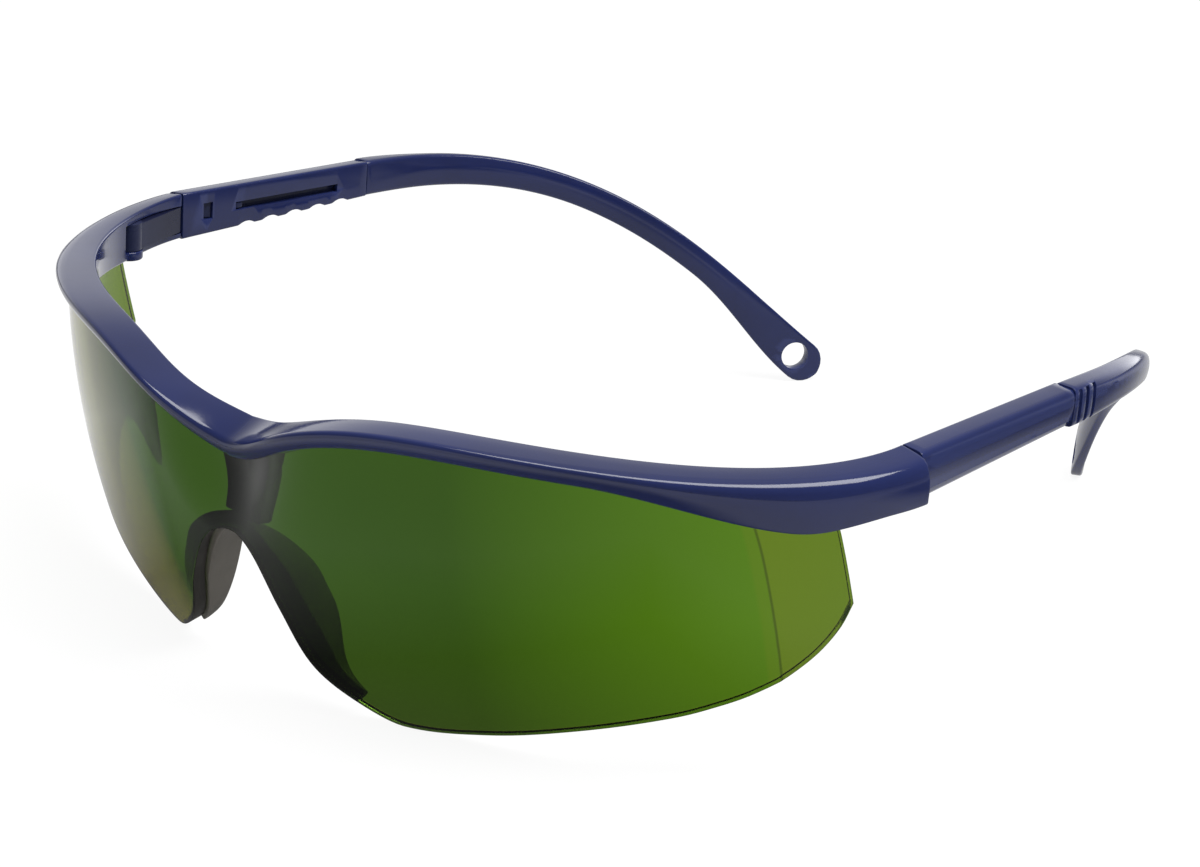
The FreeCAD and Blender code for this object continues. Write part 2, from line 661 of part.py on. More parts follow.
def make_sleeve(label):
    shell = doc.addObject("Part::Wedge", label + "_shell")
    start = SLEEVE_FRONT + " - 1"
    end = SLEEVE_FRONT + " + Sizes.sleeve_length"
    outer = "Sizes.sleeve_inset + Sizes.sleeve_thick"
    bind(
        shell,
        Xmin="Sizes.sleeve_inset", Xmax=outer,
        X2min="Sizes.sleeve_inset", X2max=outer,
        Ymin=start, Ymax=end,
        Zmin="-Sizes.sleeve_front_height", Z2min="-Sizes.sleeve_back_height",
    )
    shell.Zmax = 0
    shell.Z2max = 0
    # A block larger than the shell's front trims it to the slanting seam.
    front = doc.addObject("Part::Box", label + "_front")
    front.Length = 20
    front.Width = 10
    front.Height = 20
    turn = "Sizes.arm_toe_in * 1deg"
    depth = "(%s - 10)" % SLEEVE_FRONT
    front.Placement.Rotation = FreeCAD.Rotation(FreeCAD.Vector(0, 0, 1), -size("arm_toe_in"))
    bind(
        front,
        Placement__Base__x="-5 * cos(%s) + %s * sin(%s)" % (turn, depth, turn),
        Placement__Base__y="5 * sin(%s) + %s * cos(%s)" % (turn, depth, turn),
        Placement__Base__z="-Sizes.sleeve_front_height - 5",
    )
    hollow = block(
        label + "_hollow",
        x=HOLLOW_INNER, y=start, z="-Sizes.hollow_top - Sizes.hollow_height",
        Length="Sizes.sleeve_thick - 2 * Sizes.sleeve_wall",
        Width="Sizes.sleeve_length + 3",
        Height="Sizes.hollow_height",
    )
    middle = "-Sizes.hollow_top - Sizes.hollow_height / 2"
    slot = block(
        label + "_slot",
        x="Sizes.sleeve_inset - 1", y=SLEEVE_FRONT + " + Sizes.slot_start",
        z=middle + " - Sizes.slot_height / 2",
        Length="Sizes.sleeve_wall + 1.2",
        Width="Sizes.click_pitch * Sizes.click_count + Sizes.stud_length + 2 * Sizes.stud_play",
        Height="Sizes.slot_height",
    )
    window = block(
        label + "_window",
        x="Sizes.sleeve_inset - 1", y=SLEEVE_FRONT + " + Sizes.window_start",
        z=middle + " - Sizes.window_height / 2",
        Length="Sizes.sleeve_wall + 1.2",
        Width="Sizes.window_length",
        Height="Sizes.window_height",
    )
    cuts = [front, hollow, slot, window]
    for index in range(int(size("click_count")) + 1):
        scallop = doc.addObject("Part::Cylinder", "%s_scallop_%d" % (label, index + 1))
        scallop.Placement.Rotation = FreeCAD.Rotation(FreeCAD.Vector(0, 1, 0), 90)
        along = "(Sizes.slot_start + (%d + 0.5) * Sizes.click_pitch)" % index
        rise = "(Sizes.sleeve_front_height - Sizes.sleeve_back_height) / Sizes.sleeve_length"
        bind(
            scallop,
            Radius="Sizes.scallop_radius",
            Height="Sizes.sleeve_wall + 1.3",
            Placement__Base__x="Sizes.sleeve_inset - 0.5",
            Placement__Base__y=SLEEVE_FRONT + " + " + along,
            Placement__Base__z="-Sizes.sleeve_front_height + %s * %s"
            " + Sizes.scallop_depth - Sizes.scallop_radius" % (along, rise),
        )
        cuts.append(scallop)
    cutter = doc.addObject("Part::MultiFuse", label + "_cuts")
    cutter.Shapes = cuts
    sleeve = doc.addObject("Part::Cut", label)
    sleeve.Base = shell
    sleeve.Tool = cutter
    sleeve.Placement = ARM
    sleeve.Label = label
    return sleeve


# Temple tip: tongue, click stud and the curved ear piece with its round pad and cord hole.

# Inward turn and fall of the ear piece, in degrees, at each quarter of its length.
TIP_TURNS = [(0.0, 0.0), (16.7, 9.7), (34.8, 24.8), (41.1, 37.5), (20.7, 36.6)]
TIP_STEPS = 48

TURN_CURVE = Part.BSplineCurve()
TURN_CURVE.interpolate(
    Points=[FreeCAD.Vector(turn, fall, 0) for turn, fall in TIP_TURNS],
    Parameters=[quarter / 4 for quarter in range(5)],
)


def tip_axes(share):
    """Forward, outward and upward directions of the ear piece."""
    angles = TURN_CURVE.value(share)
    turn = math.radians(angles.x)
    fall = math.radians(angles.y)
    ahead = FreeCAD.Vector(-math.sin(turn) * math.cos(fall), math.cos(turn) * math.cos(fall), -math.sin(fall))
    outward = FreeCAD.Vector(math.cos(turn), math.sin(turn), 0)
    return ahead, outward, outward.cross(ahead)


def tip_height(share):
    """Height of the ear piece: sleeve, waist, then pad."""
    waist = size("tip_waist")
    start = size("sleeve_back_height") - waist
    end = 2 * size("pad_radius") - waist
    return waist + start * (1 - ease(0, 0.45, share)) + end * ease(0.70, 0.96, share)


def tip_thickness(share):
    return size("sleeve_thick") + (size("pad_thick") - size("sleeve_thick")) * ease(0, 1, share)


def tip_centres():
    """Middle of the ear piece at each step of its inner top edge, in the arm's frame."""
    edge = FreeCAD.Vector(
        size("sleeve_inset"),
        size("hinge_ahead") + size("arm_gap") + size("sleeve_length") + size("tip_gap"),
        0,
    )
    centres = []
    end = 1 - size("pad_radius") / size("tip_length")
    for index in range(TIP_STEPS + 1):
        share = end * index / TIP_STEPS
        if index:
            ahead = tip_axes(share - 0.5 * end / TIP_STEPS)[0]
            edge = edge + ahead * (size("tip_length") * end / TIP_STEPS)
        ahead, outward, upward = tip_axes(share)
        centres.append((
            share,
            edge + outward * (tip_thickness(share) / 2) - upward * (tip_height(share) / 2),
        ))
    return centres


def rounded_ring(centre, outward, upward, width, height, radius):
    """Rectangle with round corners, square to the ear piece's run."""
    half_width = width / 2 - radius
    half_height = height / 2 - radius
    edges = []
    quarter = math.pi / 2
    for index, (side, rise) in enumerate(((1, 1), (-1, 1), (-1, -1), (1, -1))):
        middle = centre + outward * (side * half_width) + upward * (rise * half_height)
        turns = [quarter * index + quarter * step / 2 for step in range(3)]
        arc = [middle + (outward * math.cos(turn) + upward * math.sin(turn)) * radius for turn in turns]
        if edges:
            edges.append(Part.makeLine(edges[-1].Vertexes[-1].Point, arc[0]))
        edges.append(Part.Arc(*arc).toShape())
    edges.append(Part.makeLine(edges[-1].Vertexes[-1].Point, edges[0].Vertexes[0].Point))
    return Part.Wire(edges)


def make_tip(label):
    centres = tip_centres()
    rings = []
    for share, centre in centres[::2]:
        ahead, outward, upward = tip_axes(share)
        width = tip_thickness(share)
        rings.append(rounded_ring(centre, outward, upward, width, tip_height(share), 0.3 * width))
    shape = Part.makeLoft(rings, True)
    share, middle = centres[-1]
    start = centres[0][1]
    ahead, outward, upward = tip_axes(share)
    thick = tip_thickness(share)
    pad_foot = middle - outward * (thick / 2)
    shape = shape.fuse(Part.makeCylinder(size("pad_radius"), thick, pad_foot, outward))
    hole_middle = middle - ahead * size("cord_hole_ahead")
    hole_foot = hole_middle - outward * (thick + 1)
    hole = Part.makeCylinder(size("cord_hole_radius"), 2 * thick + 2, hole_foot, outward)
    shape = shape.cut(hole)
    for index in range(3):
        along = start.y + size("groove_width") + index * size("groove_pitch")
        face = size("sleeve_inset") + size("sleeve_thick") - size("groove_depth")
        corner = FreeCAD.Vector(face - 0.25 * index, along, -size("sleeve_back_height") - 1)
        shape = shape.cut(Part.makeBox(2, size("groove_width"), size("sleeve_back_height") - 0.2, corner))
    play = size("tongue_play")
    front = size("hinge_ahead") + size("arm_gap")
    stud_start = front + size("slot_start") + size("stud_play")
    near = size("sleeve_inset") + size("sleeve_wall") + play
    tongue_foot = -size("hollow_top") - size("hollow_height") + play
    tongue_start = stud_start - size("tongue_lead")
    tongue = Part.makeBox(
        size("sleeve_thick") - 2 * size("sleeve_wall") - 2 * play,
        start.y + 1 - tongue_start,
        size("hollow_height") - 2 * play,
        FreeCAD.Vector(near, tongue_start, tongue_foot),
    )
    stud_height = size("slot_height") - 2 * size("stud_play")
    middle_level = -size("hollow_top") - size("hollow_height") / 2
    stud_face = size("sleeve_inset") + 0.15
    stud = Part.makeBox(
        near + 0.2 - stud_face,
        size("stud_length"),
        stud_height,
        FreeCAD.Vector(stud_face, stud_start, middle_level - stud_height / 2),
    )
    shape = shape.fuse(tongue).fuse(stud)
    return feature(label, shape.removeSplitter(), ARM)


# Nose saddle: a soft wall that follows the notch behind the lens and flares towards the face.

def angle_at(across, level):
    """Arch angle at which the back of the lens lies this far from the middle."""
    low, high = 0.0, 60.0
    for _ in range(40):
        middle = (low + high) / 2
        if lens_point(middle, level, size("lens_thick")).x < across:
            low = middle
        else:
            high = middle
    return low


def behind_lens(spot):
    """The saddle's front face at a spot seen from the front."""
    angle = math.copysign(angle_at(abs(spot.x), spot.z), spot.x)
    back = lens_point(angle, spot.z, size("lens_thick")).y
    return FreeCAD.Vector(spot.x, back + size("saddle_gap"), spot.z)


def saddle_ring(spot, normal, reach):
    """Section of the saddle's wall at a spot of the notch's edge; reach is 0 at the top, 1 at its foot."""
    depth = size("saddle_depth_top")
    depth += (size("saddle_depth") - depth) * ease(0, 0.35, reach)
    depth -= (size("saddle_depth") - size("saddle_depth_foot")) * ease(0.45, 1, reach)
    thick = size("saddle_thick")
    thick += (size("saddle_thick_side") - thick) * ease(0.05, 0.3, reach) * (1 - ease(0.75, 1, reach))
    splay = math.radians(size("saddle_splay")) * ease(0, 0.3, reach)
    inward = FreeCAD.Vector(0, math.cos(splay), 0) + normal * math.sin(splay)
    front = behind_lens(spot)
    points = [
        front,
        front + inward * depth,
        front + inward * depth + normal * size("saddle_edge"),
        behind_lens(spot + normal * thick),
    ]
    return Part.makePolygon(points + points[:1])


def make_saddle():
    half = half_outline()[:5]
    curve = Part.BSplineCurve()
    curve.interpolate(mirrored(half) + half)
    count = 12
    first, last = curve.FirstParameter, curve.LastParameter
    rings = []
    for index in range(-count, count + 1):
        reach = index / count
        parameter = first + (last - first) * (0.5 + 0.5 * reach)
        spot = curve.value(parameter)
        along = curve.tangent(parameter)[0]
        normal = FreeCAD.Vector(-along.z, 0, along.x)
        rings.append(saddle_ring(spot, normal, abs(reach)))
    shape = Part.makeLoft(rings, True)
    top = (arch_point(0).z - size("notch_level")) / 2 + 1
    foot = -size("notch_level") + 0.4 * size("saddle_thick")
    stem_front = tab_front(foot) + size("tab_thick")
    stem = Part.makeBox(4.6, 1.6, top - foot, FreeCAD.Vector(-2.3, stem_front, foot))
    shape = shape.fuse(stem).cut(bridge_tab()).fuse(saddle_stud(0))
    return feature("nose_piece", shape, WHOLE)


# The right side is the left side's mirror image.

def mirror_of(item, label):
    twin = doc.addObject("Part::Mirroring", label)
    twin.Source = item
    twin.Base = FreeCAD.Vector(0, 0, 0)
    twin.Normal = FreeCAD.Vector(1, 0, 0)
    twin.Label = label
    return twin


# The sleeve's inner face, seen from the pivot axis, follows from the hinge's place and the toe-in.
SLEEVE_INSET = (
    size("hinge_inset") * math.cos(math.radians(size("arm_toe_in")))
    + size("hinge_ahead") * math.sin(math.radians(size("arm_toe_in")))
)
inset_row = len(SIZES) + 1
sheet.set("A%d" % inset_row, "sleeve's inner face from the pivot axis, worked out from the hinge")
sheet.set("B%d" % inset_row, "%.6f" % SLEEVE_INSET)
sheet.setAlias("B%d" % inset_row, "sleeve_inset")
doc.recompute()

nodes = [make_lens(), make_brow(), make_saddle()]
for make, name in ((make_pin, "hinge_pin"), (make_arm, "hinge_arm"),
                   (make_sleeve, "temple_sleeve"), (make_tip, "temple_tip")):
    left = make(name + "_left")
    nodes.append(left)
    nodes.append(mirror_of(left, name + "_right"))
doc.recompute()

for item in doc.Objects:
    if "Invalid" in item.State or "Error" in item.State:
        raise RuntimeError("%s failed: %s" % (item.Label, item.State))
for item in nodes:
    if item.Shape.isNull() or not item.Shape.isValid():
        raise RuntimeError("%s has no valid shape" % item.Label)
    box = item.Shape.optimalBoundingBox()
    print("%-22s solids %d volume %.1f box %s" % (item.Label, len(item.Shape.Solids), item.Shape.Volume, box))

os.makedirs("parts", exist_ok=True)
for item in nodes:
    item.Shape.exportStep("parts/%s.step" % item.Label)
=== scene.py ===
import math

import bpy
from mathutils import Matrix, Vector


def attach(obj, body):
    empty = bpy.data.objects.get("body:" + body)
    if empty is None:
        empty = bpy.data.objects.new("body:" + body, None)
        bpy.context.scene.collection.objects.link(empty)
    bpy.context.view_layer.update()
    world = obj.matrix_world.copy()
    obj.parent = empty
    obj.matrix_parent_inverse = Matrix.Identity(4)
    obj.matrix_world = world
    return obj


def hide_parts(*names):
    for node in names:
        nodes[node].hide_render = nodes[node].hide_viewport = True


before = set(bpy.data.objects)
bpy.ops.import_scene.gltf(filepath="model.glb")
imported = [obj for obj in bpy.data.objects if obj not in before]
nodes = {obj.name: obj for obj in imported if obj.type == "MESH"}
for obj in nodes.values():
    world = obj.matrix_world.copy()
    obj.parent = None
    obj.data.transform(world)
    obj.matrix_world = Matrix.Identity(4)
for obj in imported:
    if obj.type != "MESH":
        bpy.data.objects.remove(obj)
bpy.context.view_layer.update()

bpy.ops.object.select_all(action="DESELECT")


# Brow bar: one glossy moulding in navy plastic that bows round the forehead, with a dip and a
# set-back bridge over the nose. Its ends are pocketed for the hinges, and its back holds a tab
# for the nose saddle.

# Sizes are in millimetres in the moulder's frame, whose origin lies between the bar's two ends.
REST_PITCH = math.radians(1.62)
REST_HEIGHT = 44.29
CENTRE_SHIFT = -27.42
HALF_WIDTH = 70.0
BROW_REACH = 51.8
FULLNESS = 1.8
DENT_DEPTH, DENT_WIDTH = 3.9, 9.0
DIP_DEPTH, DIP_WIDTH = 5.9, 16.2
WAVE = 0.8
BAR_FRONT, BAR_END, BAR_BRIDGE = 6.15, 4.4, 5.1
FACE_FRONT, FACE_END = 2.8, 5.9
SKIRT_FRONT, SKIRT_SIDE = 2.65, 7.3
DROP_END, DROP_BRIDGE = 0.8, 2.5
FACE_TUCK, FACE_BULGE, BACK_LIP = 1.5, 0.511, 0.5
CREST_ROUND, CREST_ROUND_SIDE = 0.8, 1.8
LEAN_BACK = Matrix.Rotation(-REST_PITCH, 3, "X")


def stand(point):
    """A place in the moulder's frame as a place, in metres, in the standing spectacles."""
    return (LEAN_BACK @ Vector(point) + Vector((0, CENTRE_SHIFT, REST_HEIGHT))) / 1000


def hump(distance, width):
    return math.exp(-(distance / width) ** 2)


def ease(low, high, value):
    share = min(1.0, max(0.0, (value - low) / (high - low)))
    return share * share * (3 - 2 * share)


def arch_point(angle):
    """A point of the bar's inner top edge; the angle is 0 in the middle and 90 at the left end."""
    turn = math.radians(angle)
    power = 2 / FULLNESS
    x = math.copysign(HALF_WIDTH * abs(math.sin(turn)) ** power, angle)
    y = -BROW_REACH * abs(math.cos(turn)) ** power + DENT_DEPTH * hump(x, DENT_WIDTH)
    z = WAVE * math.sin(4 * abs(turn)) - DIP_DEPTH * hump(x, DIP_WIDTH)
    return Vector((x, y, z))


def arch_outward(angle):
    turn = math.radians(angle)
    power = 2 - 2 / FULLNESS
    across = BROW_REACH * abs(math.sin(turn)) ** power
    ahead = HALF_WIDTH * abs(math.cos(turn)) ** power
    return Vector((math.copysign(across, angle), -ahead, 0)).normalized()


def bar_width(angle):
    width = BAR_FRONT + (BAR_END - BAR_FRONT) * (angle / 90) ** 2
    return width - (BAR_FRONT - BAR_BRIDGE) * hump(arch_point(angle).x, DENT_WIDTH)


def crest_drop(angle):
    return DROP_END * (angle / 90) ** 2 + DROP_BRIDGE * hump(arch_point(angle).x, DENT_WIDTH)


def face_height(angle):
    return FACE_FRONT + (FACE_END - FACE_FRONT) * ease(32, 78, abs(angle))


def skirt_height(angle):
    """Height of the outer face, which reaches down past the lens's top at the sides."""
    rise = ease(44, 74, abs(angle)) - 0.28 * ease(68, 84, abs(angle))
    return SKIRT_FRONT + (SKIRT_SIDE - SKIRT_FRONT) * rise


def face_foot(angle):
    return bar_width(angle) - FACE_TUCK * (1 - (angle / 72) ** 2)


def face_foot_level(angle):
    return arch_point(angle).z - crest_drop(angle) - face_height(angle)


def rounded(corners, radii, steps=4):
    """A closed outline through the corners, each turned with its own radius."""
    outline = []
    count = len(corners)
    for index, (corner, radius) in enumerate(zip(corners, radii)):
        before = corners[index - 1] - corner
        after = corners[(index + 1) % count] - corner
        start = corner + before.normalized() * min(radius, 0.45 * before.length)
        end = corner + after.normalized() * min(radius, 0.45 * after.length)
        for step in range(steps + 1):
            share = step / steps
            near = start.lerp(corner, share)
            outline.append(near.lerp(corner.lerp(end, share), share))
        following = corners[(index + 1) % count]
        outline.append(end.lerp(following, 0.35))
    return outline


def end_cap(ring, beside, radius):
    """Rings that start at a point in the middle and round over into the ring."""
    centre = sum(ring, Vector()) / len(ring)
    inward = (sum(beside, Vector()) / len(beside) - centre).normalized()
    reach = max((point - centre).length for point in ring)
    rounds = [[centre] * len(ring)]
    for turn in (0, 30, 60, 90):
        shrink = 1 - radius / reach * (1 - math.sin(math.radians(turn))) * 1.6
        inset = inward * radius * (1 - math.cos(math.radians(turn)))
        rounds.append([centre + (point - centre) * shrink + inset for point in ring])
    return rounds


def closed_ends(rings, radius):
    """Rings shut at both ends, with a small round."""
    first = end_cap(rings[0], rings[1], radius)
    last = end_cap(rings[-1], rings[-2], radius)
    return first + rings[1:-1] + last[::-1]


def skin(name, rings):
    """A closed piece whose skin runs through rings of points in the moulder's frame."""
    rings = [list(ring) + [ring[0]] for ring in rings]
    bpy.ops.mesh.primitive_grid_add(
        x_subdivisions=len(rings[0]) - 1, y_subdivisions=len(rings) - 1, size=1)
    piece = bpy.context.object
    piece.name = name
    points = [point for ring in rings for point in ring]
    for vertex, point in zip(piece.data.vertices, points):
        vertex.co = stand(point)
    mend(piece)
    return piece


def mend(piece):
    """Merges the seams and turns every face outwards."""
    bpy.context.view_layer.objects.active = piece
    bpy.ops.object.mode_set(mode="EDIT")
    bpy.ops.mesh.select_all(action="SELECT")
    bpy.ops.mesh.remove_doubles(threshold=2e-6)
    bpy.ops.mesh.normals_make_consistent(inside=False)
    bpy.ops.object.mode_set(mode="OBJECT")


def finish_with(piece, kind, **settings):
    """Adds a modifier and applies it."""
    bpy.context.view_layer.objects.active = piece
    modifier = piece.modifiers.new(kind.title(), kind)
    for key, value in settings.items():
        setattr(modifier, key, value)
    bpy.ops.object.modifier_apply(modifier=modifier.name)


def cut(piece, *cutters):
    """Takes the cutters out of the piece, and away."""
    for cutter in cutters:
        finish_with(piece, "BOOLEAN", operation="DIFFERENCE", solver="MANIFOLD", object=cutter)
        bpy.data.objects.remove(cutter)


def soften(piece, width, segments=2, angle=50):
    """Takes the sharpness off edges that turn by more than an angle."""
    finish_with(
        piece, "BEVEL", width=width, segments=segments, limit_method="ANGLE", angle_limit=math.radians(angle))


def smooth(piece, angle=38):
    bpy.ops.object.select_all(action="DESELECT")
    piece.select_set(True)
    bpy.context.view_layer.objects.active = piece
    bpy.ops.object.shade_smooth_by_angle(angle=math.radians(angle))
    piece.select_set(False)


def solid(name, corners, foot, top):
    """An upright block over an outline in plan."""
    low, high = [[Vector((x, y, level)) for x, y in corners] for level in (foot, top)]
    ends = [[sum(ring, Vector()) / len(ring)] * len(ring) for ring in (low, high)]
    return skin(name, [ends[0], low, high, ends[1]])


def bar_ring(angle):
    """Section of the bar: its top, its bulging face and its flat back."""
    start = arch_point(angle)
    out = arch_outward(angle)
    width = bar_width(angle)
    drop = crest_drop(angle)
    foot = face_foot(angle)
    foot_drop = drop + skirt_height(angle)
    back_drop = drop + face_height(angle) + BACK_LIP
    bulge = (width + foot) / 2 + FACE_BULGE
    corners = [
        start,
        start + out * width - Vector((0, 0, drop)),
        start + out * bulge - Vector((0, 0, (drop + foot_drop) / 2)),
        start + out * foot - Vector((0, 0, foot_drop)),
        start - Vector((0, 0, back_drop)),
    ]
    crest = CREST_ROUND + (CREST_ROUND_SIDE - CREST_ROUND) * ease(28, 58, abs(angle))
    return rounded(corners, [0.45, crest, 1.4, 0.35, 0.4])


brow = skin("brow_bar", closed_ends([bar_ring(90 * step / 120) for step in range(-120, 121)], 0.1))

PIVOT = Vector((HALF_WIDTH - 1.6, -12.0, 0))
BARREL_RADIUS, BARREL_TOP, BARREL_HEIGHT = 2.1, 2.05, 4.2
EAR_PLAY, EAR_HEIGHT = 0.12, 1.4
POCKET_WALL, POCKET_PLAY = 1.1, 0.4
POCKET_FOOT = -BARREL_TOP - BARREL_HEIGHT - EAR_PLAY
POCKET_IN = PIVOT.x - 4 * BARREL_RADIUS


for side in (1, -1):
    wall = arch_point(86) + arch_outward(86) * (bar_width(86) - POCKET_WALL)
    ahead = PIVOT.y - BARREL_RADIUS - POCKET_PLAY
    outline = [
        (POCKET_IN, ahead),
        (PIVOT.x + 0.5 * BARREL_RADIUS, ahead),
        (PIVOT.x + BARREL_RADIUS + 0.3, PIVOT.y),
        (wall.x, wall.y),
        (HALF_WIDTH + BAR_END - POCKET_WALL, 1),
        (POCKET_IN, 1),
    ]
    outline = [(side * x, y) for x, y in outline]
    cut(brow, solid("pocket", outline, POCKET_FOOT, -BARREL_TOP + EAR_PLAY))
smooth(brow)


# Moulded plastic: navy, a little uneven in colour, with the faint ripple, dust and fine hairline
# scratches of a polished injection moulding that has been handled.

def new_group(name, inputs, outputs):
    group = bpy.data.node_groups.new(name, "ShaderNodeTree")
    for label, kind, default in inputs:
        socket = group.interface.new_socket(label, in_out="INPUT", socket_type="NodeSocket" + kind)
        socket.default_value = default
    for label, kind in outputs:
        group.interface.new_socket(label, in_out="OUTPUT", socket_type="NodeSocket" + kind)
    return group


def add_node(tree, kind, links=None, **settings):
    """Adds a node; links names its inputs' sources, as sockets or plain values."""
    node = tree.nodes.new("ShaderNode" + kind)
    for key, value in settings.items():
        setattr(node, key, value)
    for key, source in (links or {}).items():
        if isinstance(source, bpy.types.NodeSocket):
            tree.links.new(source, node.inputs[key])
        else:
            node.inputs[key].default_value = source
    return node


def ramp(tree, value, low, high, start=0.0, end=1.0):
    """A share that goes from start to end while the value goes from low to high."""
    links = {"Value": value, "From Min": low, "From Max": high, "To Min": start, "To Max": end}
    return add_node(tree, "MapRange", links).outputs["Result"]


def reckon(tree, operation, *values, **settings):
    """The result of a Math node."""
    return add_node(tree, "Math", dict(enumerate(values)), operation=operation, **settings).outputs[0]


def noise(tree, place, scale, detail, roughness=0.5):
    links = {"Vector": place, "Scale": scale, "Detail": detail, "Roughness": roughness}
    return add_node(tree, "TexNoise", links).outputs["Fac"]


def laid_over(tree, share, under, over):
    """One colour over another, by a share."""
    return add_node(tree, "Mix", {0: share, 6: under, 7: over}, data_type="RGBA").outputs[2]


def linear(red, green, blue):
    """A colour given as it is seen, from 0 to 255, as the light that it is."""
    parts = []
    for level in (red, green, blue):
        level = level / 255
        parts.append(level / 12.92 if level <= 0.04045 else ((level + 0.055) / 1.055) ** 2.4)
    return (*parts, 1)


finish_group = new_group(
    "Handled surface",
    [("Tone", "Color", (0.5, 0.5, 0.5, 1)), ("Mottle", "Color", (0.4, 0.4, 0.4, 1)),
     ("Edge Tone", "Color", (0.6, 0.6, 0.6, 1)), ("Polish", "Float", 0.1), ("Haze", "Float", 0.2),
     ("Ripple", "Float", 0.5)],
    [("Color", "Color"), ("Roughness", "Float"), ("Height", "Float")],
)
tree = finish_group
given = tree.nodes.new("NodeGroupInput")
made = tree.nodes.new("NodeGroupOutput")
place = add_node(tree, "TexCoord").outputs["Object"]
cloud = ramp(tree, noise(tree, place, 60.0, 4.0, 0.55), 0.35, 0.68)
speck = ramp(tree, noise(tree, place, 2600.0, 2.0), 0.62, 0.8)
stretched = add_node(tree, "Mapping", {
    "Vector": place, "Scale": (240.0, 2600.0, 1800.0), "Rotation": (0.3, 0.2, 0.6)})
hair = ramp(tree, noise(tree, stretched.outputs["Vector"], 1.0, 3.0, 0.7), 0.60, 0.72)
edge = ramp(tree, add_node(tree, "NewGeometry").outputs["Pointiness"], 0.515, 0.58, 0.0, 0.5)
colour = laid_over(tree, cloud, given.outputs["Tone"], given.outputs["Mottle"])
colour = laid_over(tree, edge, colour, given.outputs["Edge Tone"])
tree.links.new(colour, made.inputs["Color"])
dull = reckon(tree, "MULTIPLY", hair, 0.35)
dull = reckon(tree, "MULTIPLY_ADD", speck, 0.3, dull)
dull = reckon(tree, "MULTIPLY_ADD", cloud, 0.4, dull)
rough = ramp(tree, dull, 0.0, 1.0, given.outputs["Polish"], given.outputs["Haze"])
tree.links.new(rough, made.inputs["Roughness"])
height = reckon(tree, "MULTIPLY", noise(tree, place, 420.0, 1.0), given.outputs["Ripple"])
height = reckon(tree, "MULTIPLY_ADD", hair, -0.12, height)
tree.links.new(height, made.inputs["Height"])


def plain_finish(name, tone, mottle, edge, polish, haze, ripple, bump, **shader_values):
    """A material whose colour, roughness and bump come from the handled surface."""
    material = bpy.data.materials.new(name)
    material.use_nodes = True
    tree = material.node_tree
    shader = tree.nodes["Principled BSDF"]
    for key, value in shader_values.items():
        shader.inputs[key.replace("_", " ")].default_value = value
    finish = tree.nodes.new("ShaderNodeGroup")
    finish.node_tree = finish_group
    for key, value in (("Tone", tone), ("Mottle", mottle), ("Edge Tone", edge), ("Polish", polish),
                       ("Haze", haze), ("Ripple", ripple)):
        finish.inputs[key].default_value = value
    tree.links.new(finish.outputs["Color"], shader.inputs["Base Color"])
    tree.links.new(finish.outputs["Roughness"], shader.inputs["Roughness"])
    relief = add_node(tree, "Bump", {
        "Height": finish.outputs["Height"], "Strength": bump, "Distance": 0.00004})
    tree.links.new(relief.outputs["Normal"], shader.inputs["Normal"])
    return material


def give(piece, material):
    piece.data.materials.clear()
    piece.data.materials.append(material)


navy = plain_finish(
    "Navy moulding", linear(25, 35, 83), linear(22, 31, 75), linear(48, 58, 108),
    0.1, 0.2, 0.35, 0.35, IOR=1.5)
# A darker, duller copy of the navy: painted shade for the tab, hinge arms, tongues and studs that sit inside
# and behind other pieces.
navy_painted_shade = plain_finish(
    "Navy moulding painted shade", linear(27, 31, 58), linear(23, 26, 50), linear(44, 50, 82),
    0.22, 0.42, 0.6, 0.5, IOR=1.5, Specular_Tint=(0.35, 0.35, 0.35, 1.0))
give(brow, navy)
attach(brow, "frame")


# Lower hinge ears: a round lug of the same navy plastic, moulded with the bar under each hinge
# pocket. It carries the lower end of the hinge pin.

for side, word in ((1, "left"), (-1, "right")):
    foot = stand((side * PIVOT.x, PIVOT.y, POCKET_FOOT - EAR_HEIGHT / 2))
    bpy.ops.mesh.primitive_cylinder_add(
        vertices=48, radius=(BARREL_RADIUS + 0.2) / 1000, depth=EAR_HEIGHT / 1000,
        location=foot, rotation=(-REST_PITCH, 0, 0))
    ear = bpy.context.object
    ear.name = "hinge_ear_" + word
    bpy.ops.object.transform_apply(location=True, rotation=True, scale=True)
    soften(ear, 0.00025, 3, 30)
    smooth(ear)
    give(ear, navy)
    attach(ear, "frame")


# Lens: one piece of green polycarbonate, 2 mm thick, moulded in the brow's curve and leaning in
# below, with a nose notch and two wings that fold back at a crease. It snaps into the bar.

LENS_THICK = 2.0
SET_BACK = 0.9
INSERT, INSERT_SIDE = 1.9, 3.2
LENS_DROP = 45.2
LEAN, LEAN_SIDE = 13.2, 4.2
DENT_FADE = 0.6
NOTCH_LEVEL, NOTCH_HALF = 21.4, 12.1
LOBE_OUT = 23.0
WING_BACK, WING_LEVEL, WING_SLOPE, WING_SHOULDER = 9.3, 19.1, 0.33, 8.4
CREASE_HEIGHT, CREASE_WIDTH = 0.42, 5.0
CREASE_BACK, CREASE_SLOPE = 25.3, 0.293


def lens_point(angle, level, depth=0.0):
    """A point of the lens, depth behind its front surface."""
    fall = (face_foot_level(angle) - level) / LENS_DROP
    lean = LEAN + (LEAN_SIDE - LEAN) * (angle / 90) ** 2
    offset = face_foot(angle) - SET_BACK - lean * (0.22 * fall + 0.78 * fall * abs(fall))
    start = arch_point(angle)
    point = start + arch_outward(angle) * (offset - depth)
    point.y -= DENT_FADE * ease(0, 0.3, fall) * DENT_DEPTH * hump(start.x, DENT_WIDTH)
    point.z = level
    from_crease = point.y + CREASE_BACK + CREASE_SLOPE * level
    if abs(angle) > 40:
        ridge = CREASE_HEIGHT * math.exp(-abs(from_crease) / CREASE_WIDTH) * ease(3, 12, -level)
        point += arch_outward(angle) * ridge
    return point


